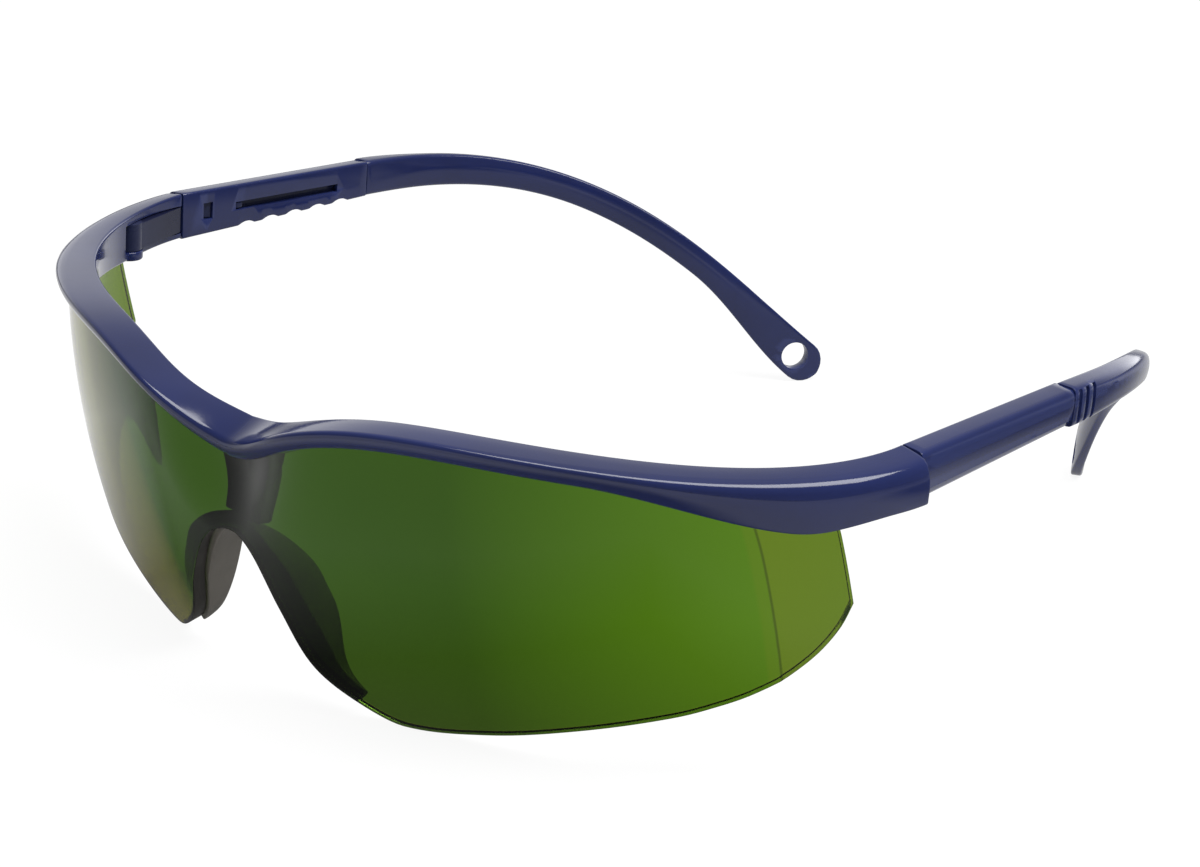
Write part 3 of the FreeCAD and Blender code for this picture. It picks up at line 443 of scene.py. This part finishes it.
def hermite(points, samples):
    """Evenly spaced points on a smooth curve through the given ones."""
    curve = []
    for index in range(len(points) - 1):
        p0, p3 = points[index], points[index + 1]
        span = (p3 - p0).length
        before = points[index - 1] if index else p0 - (p3 - p0)
        after = points[index + 2] if index + 2 < len(points) else p3 + (p3 - p0)
        if index == 0:
            before = Vector((-p3.x, p3.y)) if abs(p0.x) < 1e-6 else before
        m0 = (p3 - before) / ((p3 - p0).length + (p0 - before).length) * span
        m3 = (after - p0) / ((after - p3).length + span) * span
        for step in range(24):
            t = step / 24
            curve.append(
                p0 * (2 * t ** 3 - 3 * t ** 2 + 1) + m0 * (t ** 3 - 2 * t ** 2 + t)
                + p3 * (3 * t ** 2 - 2 * t ** 3) + m3 * (t ** 3 - t ** 2))
    curve.append(points[-1])
    lengths = [0.0]
    for near, far in zip(curve, curve[1:]):
        lengths.append(lengths[-1] + (far - near).length)
    even = []
    index = 0
    for sample in range(samples + 1):
        want = lengths[-1] * sample / samples
        while index < len(curve) - 2 and lengths[index + 1] < want:
            index += 1
        share = (want - lengths[index]) / (lengths[index + 1] - lengths[index])
        even.append(curve[index].lerp(curve[index + 1], share))
    return even


def solve_angle(level, axis, value):
    """The arch angle at which the lens's front surface reaches an x or y."""
    low, high = 0.0, 89.5
    for _ in range(40):
        middle = (low + high) / 2
        if lens_point(middle, level)[axis] < value:
            low = middle
        else:
            high = middle
    return (low + high) / 2


notch_run = LENS_DROP - NOTCH_LEVEL
notch_limit = -NOTCH_LEVEL - 0.85 * notch_run
front_edge = [Vector(pair) for pair in (
    (0, -NOTCH_LEVEL),
    (0.36 * NOTCH_HALF, -NOTCH_LEVEL - 0.08 * notch_run),
    (0.70 * NOTCH_HALF, -NOTCH_LEVEL - 0.38 * notch_run),
    (NOTCH_HALF, -NOTCH_LEVEL - 0.72 * notch_run),
    ((NOTCH_HALF + LOBE_OUT) / 2, 2.1 - LENS_DROP),
    (LOBE_OUT, -LENS_DROP),
    (0.50 * HALF_WIDTH, 2.0 - LENS_DROP),
    (0.66 * HALF_WIDTH, 5.4 - LENS_DROP),
    (0.82 * HALF_WIDTH, 9.5 - LENS_DROP),
    (0.88 * HALF_WIDTH, 11.6 - LENS_DROP),
    (0.93 * HALF_WIDTH, 13.9 - LENS_DROP),
    (1.10 * HALF_WIDTH, 21.0 - LENS_DROP),
)]
wing_edge = [Vector(pair) for pair in (
    (-WING_BACK - 14.0, -WING_LEVEL - 15.2),
    (-WING_BACK - 9.9, -WING_LEVEL - 12.5),
    (-WING_BACK - 4.2, -WING_LEVEL - 7.5),
    (-WING_BACK - 1.3, -WING_LEVEL - 3.5),
    (-WING_BACK, -WING_LEVEL),
)]
wing_curve = hermite(wing_edge, 24)


def wing_limit(level):
    """The furthest back that the lens reaches at a level below the wing's corner."""
    for low, high in zip(wing_curve, wing_curve[1:]):
        if low.y <= level <= high.y:
            return low.x + (high.x - low.x) * (level - low.y) / (high.y - low.y)
    return 100.0 if level < wing_curve[0].y else -WING_BACK


columns = []
for spot in hermite(front_edge, 110):
    angle = solve_angle(spot.y, 0, spot.x)
    if lens_point(angle, spot.y).y > wing_limit(spot.y):
        break
    columns.append((angle, spot.y))
last_level = columns[-1][1]
for spot in wing_curve:
    if spot.y > last_level + 0.8:
        columns.append((solve_angle(spot.y, 1, spot.x), spot.y))
corner_angle = columns[-1][0]


def back_angle(level):
    """The arch angle of the wing's back edge."""
    if level <= -WING_LEVEL:
        return corner_angle
    turn = -WING_BACK + WING_SLOPE * (-WING_LEVEL - min(level, -WING_SHOULDER))
    if level > -WING_SHOULDER:
        turn -= level + WING_SHOULDER
    return solve_angle(level, 1, turn)


ROWS = 40
column_points = []
for angle, foot_level in columns:
    near_top = angle * back_angle(-4) / corner_angle
    insert = INSERT + (INSERT_SIDE - INSERT) * ease(32, 70, near_top)
    top_level = face_foot_level(near_top) + insert
    column = []
    for row in range(ROWS + 1):
        level = top_level + (foot_level - top_level) * row / ROWS
        column.append(lens_point(angle * back_angle(level) / corner_angle, level))
    column_points.append(column)
mirror_points = [[Vector((-p.x, p.y, p.z)) for p in column] for column in column_points[:0:-1]]
column_points = mirror_points + column_points
bpy.ops.mesh.primitive_grid_add(x_subdivisions=ROWS, y_subdivisions=len(column_points) - 1, size=1)
lens = bpy.context.object
lens.name = "lens_shield"
for vertex, point in zip(lens.data.vertices, [p for column in column_points for p in column]):
    vertex.co = stand(point)
mend(lens)
middle = min(lens.data.polygons, key=lambda face: abs(face.center.x) + abs(face.center.z - 0.03))
if middle.normal.y > 0:
    bpy.ops.object.mode_set(mode="EDIT")
    bpy.ops.mesh.select_all(action="SELECT")
    bpy.ops.mesh.flip_normals()
    bpy.ops.object.mode_set(mode="OBJECT")
lens_green = plain_finish(
    "Green shade", linear(47, 78, 10), linear(45, 76, 9), linear(47, 78, 10),
    0.0, 0.02, 0.25, 0.05, Transmission_Weight=1.0, IOR=1.5, Specular_Tint=(0.3, 0.3, 0.3, 1.0))
tree = lens_green.node_tree
shader = tree.nodes["Principled BSDF"]
colour = shader.inputs["Base Color"].links[0].from_socket
spot = add_node(tree, "TexCoord").outputs["Object"]
place = add_node(tree, "SeparateXYZ", {0: spot})
# Painted light: the lens is lighter towards the wings.
outer = ramp(tree, reckon(tree, "ABSOLUTE", place.outputs["X"]), 0.034, 0.066)
colour = laid_over(tree, outer, colour, linear(80, 120, 18))
# Painted shade: the lens is duller and darker near the foot.
low = ramp(tree, place.outputs["Z"], 0.0, 0.024, 0.4, 0.0)
colour = laid_over(tree, low, colour, linear(48, 50, 22))
# The crease is a slanting plane through the wings: painted olive light behind it, and a fine painted line of
# shade along it.
crease_down = CREASE_SLOPE * math.cos(REST_PITCH) - math.sin(REST_PITCH)
crease_back = math.cos(REST_PITCH) + CREASE_SLOPE * math.sin(REST_PITCH)
crease_start = (CREASE_BACK - CENTRE_SHIFT * crease_back - REST_HEIGHT * crease_down) / 1000
past = add_node(tree, "VectorMath", {0: spot, 1: (0.0, crease_back, crease_down)}, operation="DOT_PRODUCT")
past = reckon(tree, "ADD", past.outputs["Value"], crease_start)
colour = laid_over(tree, ramp(tree, past, -0.0002, 0.0002, 0.0, 0.45), colour, linear(108, 118, 30))
# Painted shade: the dark line along the crease, on the front faces only.
line = ramp(tree, reckon(tree, "ABSOLUTE", past), 0.00008, 0.00022, 0.8, 0.0)
outside = reckon(tree, "SUBTRACT", 1.0, add_node(tree, "NewGeometry").outputs["Backfacing"])
colour = laid_over(tree, reckon(tree, "MULTIPLY", line, outside), colour, linear(34, 44, 14))
# Painted reflection: at grazing angles, where the light runs the long way through, the green is painted
# amber.
grazing = add_node(tree, "LayerWeight", {"Blend": 0.5}).outputs["Facing"]
colour = laid_over(tree, ramp(tree, grazing, 0.68, 0.9), colour, linear(180, 118, 14))
tree.links.new(colour, shader.inputs["Base Color"])
lens_rim = plain_finish(
    "Green shade rim", linear(122, 112, 40), linear(108, 100, 34), linear(130, 120, 46),
    0.12, 0.25, 0.3, 0.15, IOR=1.5, Transmission_Weight=1.0)
notch_rim = plain_finish(
    "Notch edge", linear(52, 50, 46), linear(44, 42, 39), linear(64, 62, 58),
    0.3, 0.5, 0.4, 0.3, IOR=1.45)

give(lens, lens_green)
lens.data.materials.append(lens_rim)
lens.data.materials.append(notch_rim)
finish_with(
    lens, "SOLIDIFY", thickness=LENS_THICK / 1000, offset=-1, use_even_offset=True,
    material_offset_rim=1)
# The rim's faces inside the nose notch get the notch's own finish.
notch_foot = stand(lens_point(solve_angle(notch_limit, 0, NOTCH_HALF), notch_limit)).z
for face in lens.data.polygons:
    in_notch = abs(face.center.x) < (NOTCH_HALF + 3) / 1000 and notch_foot < face.center.z < 0.04
    if face.material_index == 1 and in_notch:
        face.material_index = 2
soften(lens, 0.00012, angle=55)
smooth(lens, 50)
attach(lens, "frame")
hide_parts("brow_frame")
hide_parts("lens")


# Bridge tab and nose saddle: the bar's tab carries a soft dark rubber saddle, buttoned on by a
# stud. The saddle follows the notch behind the lens and flares into a flange on each side.

SADDLE_THICK, SADDLE_THICK_SIDE, SADDLE_EDGE = 2.2, 4.0, 0.9
SADDLE_DEPTH, SADDLE_DEPTH_TOP, SADDLE_DEPTH_FOOT = 6.7, 3.4, 1.2
SADDLE_SPLAY = math.radians(10.5)
SADDLE_GAP, SADDLE_LIP = 0.4, 0.5
TAB_WIDTH_TOP, TAB_WIDTH_FOOT, TAB_THICK = 11.5, 6.0, 1.5
STEM_HALF, STEM_THICK = 2.9, 1.6


def tab_front(level):
    """The tab's front face, just behind the lens in the middle."""
    return lens_point(0, level, LENS_THICK + SADDLE_GAP).y


def strip_ring(half, front, thick, level, radii):
    """Section of an upright strip across the middle."""
    corners = [(-half, front), (half, front), (half, front + thick), (-half, front + thick)]
    return rounded([Vector((x, y, level)) for x, y in corners], radii)


tab_top = arch_point(0).z - 2
tab_foot = -NOTCH_LEVEL + SADDLE_THICK - 0.25
rings = []
for step in range(13):
    share = step / 12
    level = tab_top + (tab_foot - tab_top) * share
    half = (TAB_WIDTH_TOP + (TAB_WIDTH_FOOT - TAB_WIDTH_TOP) * ease(0, 0.85, share)) / 2
    rings.append(strip_ring(half, tab_front(level), TAB_THICK, level, [0.5, 0.5, 0.3, 0.3]))
tab = skin("bridge_tab", closed_ends(rings, 0.25))
smooth(tab)
give(tab, navy_painted_shade)
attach(tab, "frame")


def behind_lens(spot):
    """The saddle's front face at a spot seen from the front."""
    angle = math.copysign(solve_angle(spot.z, 0, abs(spot.x)), spot.x)
    return Vector((spot.x, lens_point(angle, spot.z, LENS_THICK).y + SADDLE_GAP, spot.z))


def saddle_ring(spot, normal, reach):
    """Section of the saddle's wall at a spot of the notch; reach is 0 at the top and 1 at its foot."""
    depth = SADDLE_DEPTH_TOP + (SADDLE_DEPTH - SADDLE_DEPTH_TOP) * ease(0, 0.35, reach)
    depth -= (SADDLE_DEPTH - SADDLE_DEPTH_FOOT) * ease(0.45, 1, reach)
    swell = ease(0.05, 0.3, reach) * (1 - ease(0.6, 0.95, reach))
    thick = SADDLE_THICK + (SADDLE_THICK_SIDE - SADDLE_THICK) * swell
    splay = SADDLE_SPLAY * ease(0, 0.3, reach)
    inward = Vector((0, math.cos(splay), 0)) + normal * math.sin(splay)
    front = behind_lens(spot - normal * SADDLE_LIP)
    corners = [
        front,
        front + inward * depth,
        front + inward * depth + normal * SADDLE_EDGE,
        behind_lens(spot + normal * thick),
    ]
    return rounded(corners, [0.3, 0.4, 0.4, 0.5])


NOTCH_STEPS = 36
half_notch = hermite(front_edge[:5], NOTCH_STEPS)[:NOTCH_STEPS - 1]
whole_notch = [Vector((-spot.x, spot.y)) for spot in half_notch[:0:-1]] + half_notch
rings = []
for index, spot in enumerate(whole_notch):
    along = whole_notch[min(index + 1, len(whole_notch) - 1)] - whole_notch[max(index - 1, 0)]
    along.normalize()
    normal = Vector((-along.y, 0, along.x))
    reach = abs(index - len(half_notch) + 1) / NOTCH_STEPS
    rings.append(saddle_ring(Vector((spot.x, 0, spot.y)), normal, reach))
saddle = skin("nose_saddle", closed_ends(rings, 0.3))
smooth(saddle, 60)

stem_foot = -NOTCH_LEVEL + 0.4 * SADDLE_THICK
stem_top = (arch_point(0).z - NOTCH_LEVEL) / 2 + 1
rings = []
for step in range(9):
    level = stem_foot + (stem_top - stem_foot) * step / 8
    back = tab_front(level) + TAB_THICK + 0.05
    rings.append(strip_ring(STEM_HALF, back, STEM_THICK, level, [0.2, 0.2, 0.6, 0.6]))
stem = skin("saddle_stem", closed_ends(rings, 0.5))
smooth(stem)

rubber = plain_finish(
    "Soft nose rubber", linear(112, 108, 101), linear(100, 96, 90), linear(128, 124, 118),
    0.32, 0.55, 1.0, 0.8, IOR=1.45)
for piece in (saddle, stem):
    give(piece, rubber)
    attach(piece, "frame")
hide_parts("nose_piece")


# Hinges: each side arm turns on a steel pin pushed up through the bar's ears. The pin and the
# inner arm keep their engineering shapes, with a brushed and a moulded finish.

steel = plain_finish(
    "Pin steel", linear(186, 188, 194), linear(160, 162, 170), linear(215, 216, 220),
    0.22, 0.4, 0.3, 0.3, Metallic=1.0)
for word in ("left", "right"):
    give(nodes["hinge_pin_" + word], steel)
    give(nodes["hinge_arm_" + word], navy_painted_shade)


# Sleeves: the hollow front of each side arm, moulded in navy plastic. Its inner face has a latch
# window, a slot for the click stud, and five finger scallops along its lower edge.

TOE_IN = math.radians(3.4)
SLEEVE_FRONT = 12.3
SLEEVE_LENGTH = 37.3
SLEEVE_THICK = 3.7
SLEEVE_HIGH, SLEEVE_LOW = 7.4, 5.8
SLEEVE_WALL = 0.95
INSET = (HALF_WIDTH - PIVOT.x) * math.cos(TOE_IN) - PIVOT.y * math.sin(TOE_IN)
HOLLOW_TOP, HOLLOW_HEIGHT = 2.1, 2.8
HOLLOW_MIDDLE = -HOLLOW_TOP - HOLLOW_HEIGHT / 2
CLICK_PITCH, CLICKS = 4.8, 5
SLOT_START, SLOT_HEIGHT = 10.3, 1.3
WINDOW_START, WINDOW_LENGTH, WINDOW_HEIGHT = 3.9, 1.8, 2.7
SCALLOP_RADIUS, SCALLOP_DEPTH = 2.9, 0.6
TOE_TURN = Matrix.Rotation(TOE_IN, 3, "Z")


def on_arm(point, side=1):
    """A place in the side arm's frame, on its hinge axis, as a place in the moulder's frame."""
    place = PIVOT + TOE_TURN @ Vector(point)
    return Vector((side * place.x, place.y, place.z))


def arm_block(name, side, low, high):
    """A block between two corners in the side arm's frame."""
    plan = [(low[0], low[1]), (high[0], low[1]), (high[0], high[1]), (low[0], high[1])]
    corners = [on_arm((x, y, 0), side) for x, y in plan]
    return solid(name, [(corner.x, corner.y) for corner in corners], low[2], high[2])


def round_cutter(name, side, start, end, across, upward):
    """A round cutter from start to end in the side arm's frame; across and upward are radii."""
    turns = [math.tau * turn / 48 for turn in range(48)]
    rim = [across * math.cos(turn) + upward * math.sin(turn) for turn in turns]
    rings = [[start] * 48, [start + spoke for spoke in rim], [end + spoke for spoke in rim], [end] * 48]
    return skin(name, [[on_arm(point, side) for point in ring] for ring in rings])


for side, word in ((1, "left"), (-1, "right")):
    rings = []
    for step in range(25):
        share = step / 24
        high = SLEEVE_HIGH + (SLEEVE_LOW - SLEEVE_HIGH) * share
        section = [
            (0, 0),
            (SLEEVE_THICK - 0.3, -0.35),
            (SLEEVE_THICK, -0.45 * high),
            (SLEEVE_THICK - 0.55, -high),
            (0, -high),
        ]
        ring = []
        for x, z in section:
            x += INSET
            start = (SLEEVE_FRONT - x * math.sin(TOE_IN)) / math.cos(TOE_IN)
            ring.append(on_arm((x, start + (SLEEVE_FRONT + SLEEVE_LENGTH - start) * share, z), side))
        rings.append(rounded(ring, [0.45, 0.9, 2.4, 1.5, 0.4]))
    sleeve = skin("sleeve_" + word, closed_ends(rings, 0.08))
    near = INSET - 1
    far = INSET + SLEEVE_WALL + 0.2
    slot_start = SLEEVE_FRONT + SLOT_START
    slot_end = slot_start + CLICK_PITCH * (CLICKS - 1) + 1.6
    cut(
        sleeve,
        arm_block(
            "hollow", side,
            (INSET + SLEEVE_WALL, SLEEVE_FRONT - 1, -HOLLOW_TOP - HOLLOW_HEIGHT),
            (INSET + SLEEVE_THICK - SLEEVE_WALL, SLEEVE_FRONT + SLEEVE_LENGTH + 1, -HOLLOW_TOP)),
        arm_block(
            "slot", side,
            (near, slot_start, HOLLOW_MIDDLE - SLOT_HEIGHT / 2),
            (far, slot_end, HOLLOW_MIDDLE + SLOT_HEIGHT / 2)),
        arm_block(
            "window", side,
            (near, SLEEVE_FRONT + WINDOW_START, HOLLOW_MIDDLE - WINDOW_HEIGHT / 2),
            (far, SLEEVE_FRONT + WINDOW_START + WINDOW_LENGTH, HOLLOW_MIDDLE + WINDOW_HEIGHT / 2)),
    )
    for index in range(CLICKS):
        along = SLOT_START + (index + 0.5) * CLICK_PITCH
        foot = -SLEEVE_HIGH + (SLEEVE_HIGH - SLEEVE_LOW) * along / SLEEVE_LENGTH
        start = Vector((near + 0.5, SLEEVE_FRONT + along, foot + SCALLOP_DEPTH - SCALLOP_RADIUS))
        cut(sleeve, round_cutter(
            "scallop", side, start, start + Vector((SLEEVE_WALL + 1.3, 0, 0)),
            Vector((0, 0, SCALLOP_RADIUS)), Vector((0, SCALLOP_RADIUS, 0))))
    soften(sleeve, 0.00012)
    smooth(sleeve, 32)
    give(sleeve, navy)
    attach(sleeve, "arm_" + word)
    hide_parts("temple_sleeve_" + word)


# Ear pieces: solid navy mouldings that curve inwards and down behind the ear. Each ends in a round
# pad with a hole for a neck cord, has three grip grooves in front, and slides on a tongue.

TIP_LENGTH, TIP_WAIST = 97.7, 4.6
TIP_GAP = 0.12
PAD_RADIUS, PAD_THICK = 3.6, 2.0
CORD_HOLE, CORD_AHEAD = 2.4, 1.8
TIP_TURNS = (0.0, 16.7, 34.8, 41.1, 20.7)
TIP_FALLS = (0.0, 9.7, 24.8, 37.5, 36.6)
GROOVE_WIDTH, GROOVE_PITCH = 0.9, 2.0


def through(values, share):
    """A smooth curve through five values at equal steps."""
    steps = 0.25
    slopes = [0.0] * 5
    slopes[0] = (-11 * values[0] + 18 * values[1] - 9 * values[2] + 2 * values[3]) / 6 / steps
    slopes[4] = (11 * values[4] - 18 * values[3] + 9 * values[2] - 2 * values[1]) / 6 / steps
    for _ in range(60):
        for index in (1, 2, 3):
            pull = 3 * (values[index + 1] - values[index - 1]) / steps
            slopes[index] = (pull - slopes[index - 1] - slopes[index + 1]) / 4
    index = min(3, int(share / steps))
    t = share / steps - index
    return (values[index] * (2 * t ** 3 - 3 * t ** 2 + 1) + slopes[index] * steps * (t ** 3 - 2 * t ** 2 + t)
            + values[index + 1] * (3 * t ** 2 - 2 * t ** 3) + slopes[index + 1] * steps * (t ** 3 - t ** 2))


def tip_axes(share):
    """Forward, outward and upward directions of the ear piece."""
    turn = math.radians(through(TIP_TURNS, share))
    fall = math.radians(through(TIP_FALLS, share))
    ahead = Vector((-math.sin(turn) * math.cos(fall), math.cos(turn) * math.cos(fall), -math.sin(fall)))
    outward = Vector((math.cos(turn), math.sin(turn), 0))
    return ahead, outward, outward.cross(ahead)


def tip_height(share):
    start = SLEEVE_LOW - TIP_WAIST
    end = 2 * PAD_RADIUS - TIP_WAIST
    return TIP_WAIST + start * (1 - ease(0, 0.45, share)) + end * ease(0.70, 0.96, share)


def tip_thickness(share):
    return SLEEVE_THICK + (PAD_THICK - SLEEVE_THICK) * ease(0, 1, share)


def tip_ring(centre, axes, width, height, crown):
    """A section of the ear piece with round corners and crowned sides."""
    ahead, outward, upward = axes
    half, tall, tuck = outward * (width / 2), upward * (height / 2), outward * crown
    corners = [
        centre - half + tuck + tall, centre + half - tuck + tall - upward * (0.9 * crown), centre + half,
        centre + half - tuck - tall, centre - half + tuck - tall, centre - half,
    ]
    return rounded(corners, [0.2 * width, 0.3 * width, 1.6, 0.25 * width, 0.2 * width, 1.6])


TIP_STEPS = 96
tip_end = 1 - PAD_RADIUS / TIP_LENGTH
edge = Vector((INSET, SLEEVE_FRONT + SLEEVE_LENGTH + TIP_GAP, 0))
tip_start = edge.y
rings = []
for index in range(TIP_STEPS + 1):
    share = tip_end * index / TIP_STEPS
    if index:
        edge = edge + tip_axes(share - 0.5 * tip_end / TIP_STEPS)[0] * (TIP_LENGTH * tip_end / TIP_STEPS)
    axes = tip_axes(share)
    width, height = tip_thickness(share), tip_height(share)
    centre = edge + axes[1] * (width / 2) - axes[2] * (height / 2)
    crown = 0.1 + 0.35 * ease(0, 0.15, share) * (1 - ease(0.8, 1, share))
    rings.append(tip_ring(centre, axes, width, height, crown))
pad_centre, pad_axes = centre, axes
for turn in (15, 30, 45, 58, 68, 76, 82, 86):
    across = math.cos(math.radians(turn)) * PAD_RADIUS
    ahead = math.sin(math.radians(turn)) * PAD_RADIUS
    centre = pad_centre + pad_axes[0] * ahead
    rings.append(tip_ring(centre, pad_axes, width, 2 * across, 0.1 * across / PAD_RADIUS))
rings.append([pad_centre + pad_axes[0] * PAD_RADIUS] * len(rings[0]))
rings = end_cap(rings[0], rings[1], 0.08) + rings[1:]

for side, word in ((1, "left"), (-1, "right")):
    tip = skin("ear_piece_" + word, [[on_arm(point, side) for point in ring] for ring in rings])
    centre = pad_centre - pad_axes[0] * CORD_AHEAD
    cut(tip, round_cutter(
        "cord_hole", side, centre - pad_axes[1] * 3, centre + pad_axes[1] * 3,
        pad_axes[0] * CORD_HOLE, pad_axes[2] * CORD_HOLE))
    for index in range(3):
        along = tip_start + GROOVE_WIDTH + index * GROOVE_PITCH
        face = INSET + SLEEVE_THICK - 0.4 - 0.25 * index
        cut(tip, arm_block(
            "groove", side, (face, along, -SLEEVE_LOW - 1), (face + 2, along + GROOVE_WIDTH, -0.45)))
    soften(tip, 0.00014)
    smooth(tip, 32)
    near = INSET + SLEEVE_WALL + TIP_GAP
    stud_start = SLEEVE_FRONT + SLOT_START + 0.2
    tongue = arm_block(
        "click_tongue_" + word, side, (near, stud_start - 1.2, HOLLOW_MIDDLE - 1.28),
        (INSET + SLEEVE_THICK - SLEEVE_WALL - TIP_GAP, tip_start + 1, HOLLOW_MIDDLE + 1.28))
    stud = arm_block(
        "click_stud_" + word, side, (INSET + 0.15, stud_start, HOLLOW_MIDDLE - 0.45),
        (near + 0.2, stud_start + 1.2, HOLLOW_MIDDLE + 0.45))
    for piece in (tongue, stud):
        soften(piece, 0.00015, angle=30)
        smooth(piece)
        give(piece, navy_painted_shade)
    give(tip, navy)
    for piece in (tip, tongue, stud):
        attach(piece, "tip_" + word)
    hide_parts("temple_tip_" + word)


# Floor, light and camera: a pale table under an even, soft studio light.

bpy.ops.mesh.primitive_plane_add(size=6, location=(0, 0, 0))
floor = bpy.context.object
floor.name = "floor"
paper = bpy.data.materials.new("Pale table")
paper.use_nodes = True
tree = paper.node_tree
tree.nodes.clear()
grain = add_node(tree, "TexNoise", {"Scale": 3.0, "Detail": 2.0}).outputs["Fac"]
matte = add_node(tree, "BsdfDiffuse", {"Color": ramp(tree, grain, 0.0, 1.0, 0.66, 0.70)}).outputs[0]
# Painted reflections: for glossy rays the table glows with painted light, pale at the sides, in front and
# behind, and with painted shade, dim under the lens and far away.
here = add_node(tree, "TexCoord").outputs["Object"]
across = add_node(tree, "SeparateXYZ", {0: here}).outputs
painted_reflection = ramp(tree, across["X"], -0.095, -0.036, 0.9, 0.14)
for share in (
    ramp(tree, across["X"], 0.07, 0.10, 0.0, 0.85),
    ramp(tree, across["Y"], -0.04, 0.02, 0.0, 0.7),
    ramp(tree, across["Y"], -0.11, -0.075, 0.9, 0.0),
):
    painted_reflection = reckon(tree, "MAXIMUM", painted_reflection, share)
# Painted shade: a dim patch in the reflected table around one spot.
painted_shade_patch = add_node(tree, "VectorMath", {0: here, 1: (0.18, 0.14, 0.0)}, operation="DISTANCE")
painted_reflection = reckon(tree, "MULTIPLY", painted_reflection, ramp(tree, painted_shade_patch.outputs["Value"], 0.08, 0.14, 0.2, 1.0))
far_off = add_node(tree, "VectorMath", {0: here}, operation="LENGTH")
painted_reflection = reckon(tree, "MULTIPLY", painted_reflection, ramp(tree, far_off.outputs["Value"], 0.25, 0.5, 1.0, 0.3))
# Seen by the eye or through the lens, the table is white with the shadow kept.
path = add_node(tree, "LightPath").outputs
passing = path["Is Transmission Ray"]
bouncing = reckon(tree, "SUBTRACT", path["Is Glossy Ray"], passing, use_clamp=True)
strength = add_node(tree, "Mix", {0: bouncing, 2: 1.08, 3: painted_reflection}).outputs[0]
glow = add_node(tree, "Emission", {"Color": (1, 1, 1, 1), "Strength": strength}).outputs[0]
seen = reckon(tree, "MULTIPLY", reckon(tree, "MAXIMUM", path["Is Camera Ray"], passing), 0.85)
seen = reckon(tree, "MAXIMUM", seen, bouncing)
blend = add_node(tree, "MixShader", {0: seen, 1: matte, 2: glow}).outputs[0]
add_node(tree, "OutputMaterial", {"Surface": blend})
give(floor, paper)

world = bpy.data.worlds.new("Studio")
bpy.context.scene.world = world
world.use_nodes = True
tree = world.node_tree
tree.nodes.clear()
path = add_node(tree, "LightPath").outputs
direction = add_node(tree, "TexCoord").outputs["Generated"]
# Soft screens round the room: where each stands, how narrow it is, and how bright.
sweep = 0.24
for toward, narrow, bright in (
    ((-0.93, 0.36, 0.0), 3.0, 0.38),
    ((-0.93, 0.36, 0.0), 12.0, 0.75),
    ((-0.2, 0.98, 0.0), 20.0, 3.0),
    ((-0.16, 0.39, 0.91), 8.0, 0.5),
):
    aim = add_node(tree, "VectorMath", {0: direction, 1: toward}, operation="DOT_PRODUCT").outputs["Value"]
    screen = reckon(tree, "POWER", reckon(tree, "MAXIMUM", aim, 0.0), narrow)
    sweep = reckon(tree, "MULTIPLY_ADD", screen, bright, sweep)
seen = reckon(tree, "MAXIMUM", path["Is Camera Ray"], path["Is Transmission Ray"])
light = reckon(tree, "MAXIMUM", seen, sweep)
sky = add_node(tree, "Background", {"Color": (1, 1, 1, 1), "Strength": light}).outputs[0]
add_node(tree, "OutputWorld", {"Surface": sky})


key_place, key_aim = Vector((0.28, 0.02, 0.8)), Vector((0.13, -0.17, 0.03))
bpy.ops.object.light_add(type="AREA", location=key_place)
key = bpy.context.object
key.name = "key"
key.rotation_euler = (key_aim - key_place).to_track_quat("-Z", "Y").to_euler()
key.data.shape = "RECTANGLE"
key.data.size, key.data.size_y = 0.4, 1.0
key.data.energy = 10.0

turn, dip, roll = 0.713, 0.343, 0.073
forward = Vector((-math.sin(turn) * math.cos(dip), math.cos(turn) * math.cos(dip), -math.sin(dip)))
right = Vector((math.cos(turn), math.sin(turn), 0))
upward = right.cross(forward)
axes = Matrix((LEAN_BACK @ right, LEAN_BACK @ upward, LEAN_BACK @ -forward)).transposed()
axes = axes @ Matrix.Rotation(roll, 3, "Z")
camera = bpy.data.objects.new("camera", bpy.data.cameras.new("camera"))
bpy.context.scene.collection.objects.link(camera)
camera.matrix_world = Matrix.Translation(stand((294.865, -318.987, 137.1))) @ axes.to_4x4()
camera.data.sensor_width = 36
camera.data.lens = 96.3834
bpy.context.scene.camera = camera
bpy.context.scene.view_settings.view_transform = "Standard"
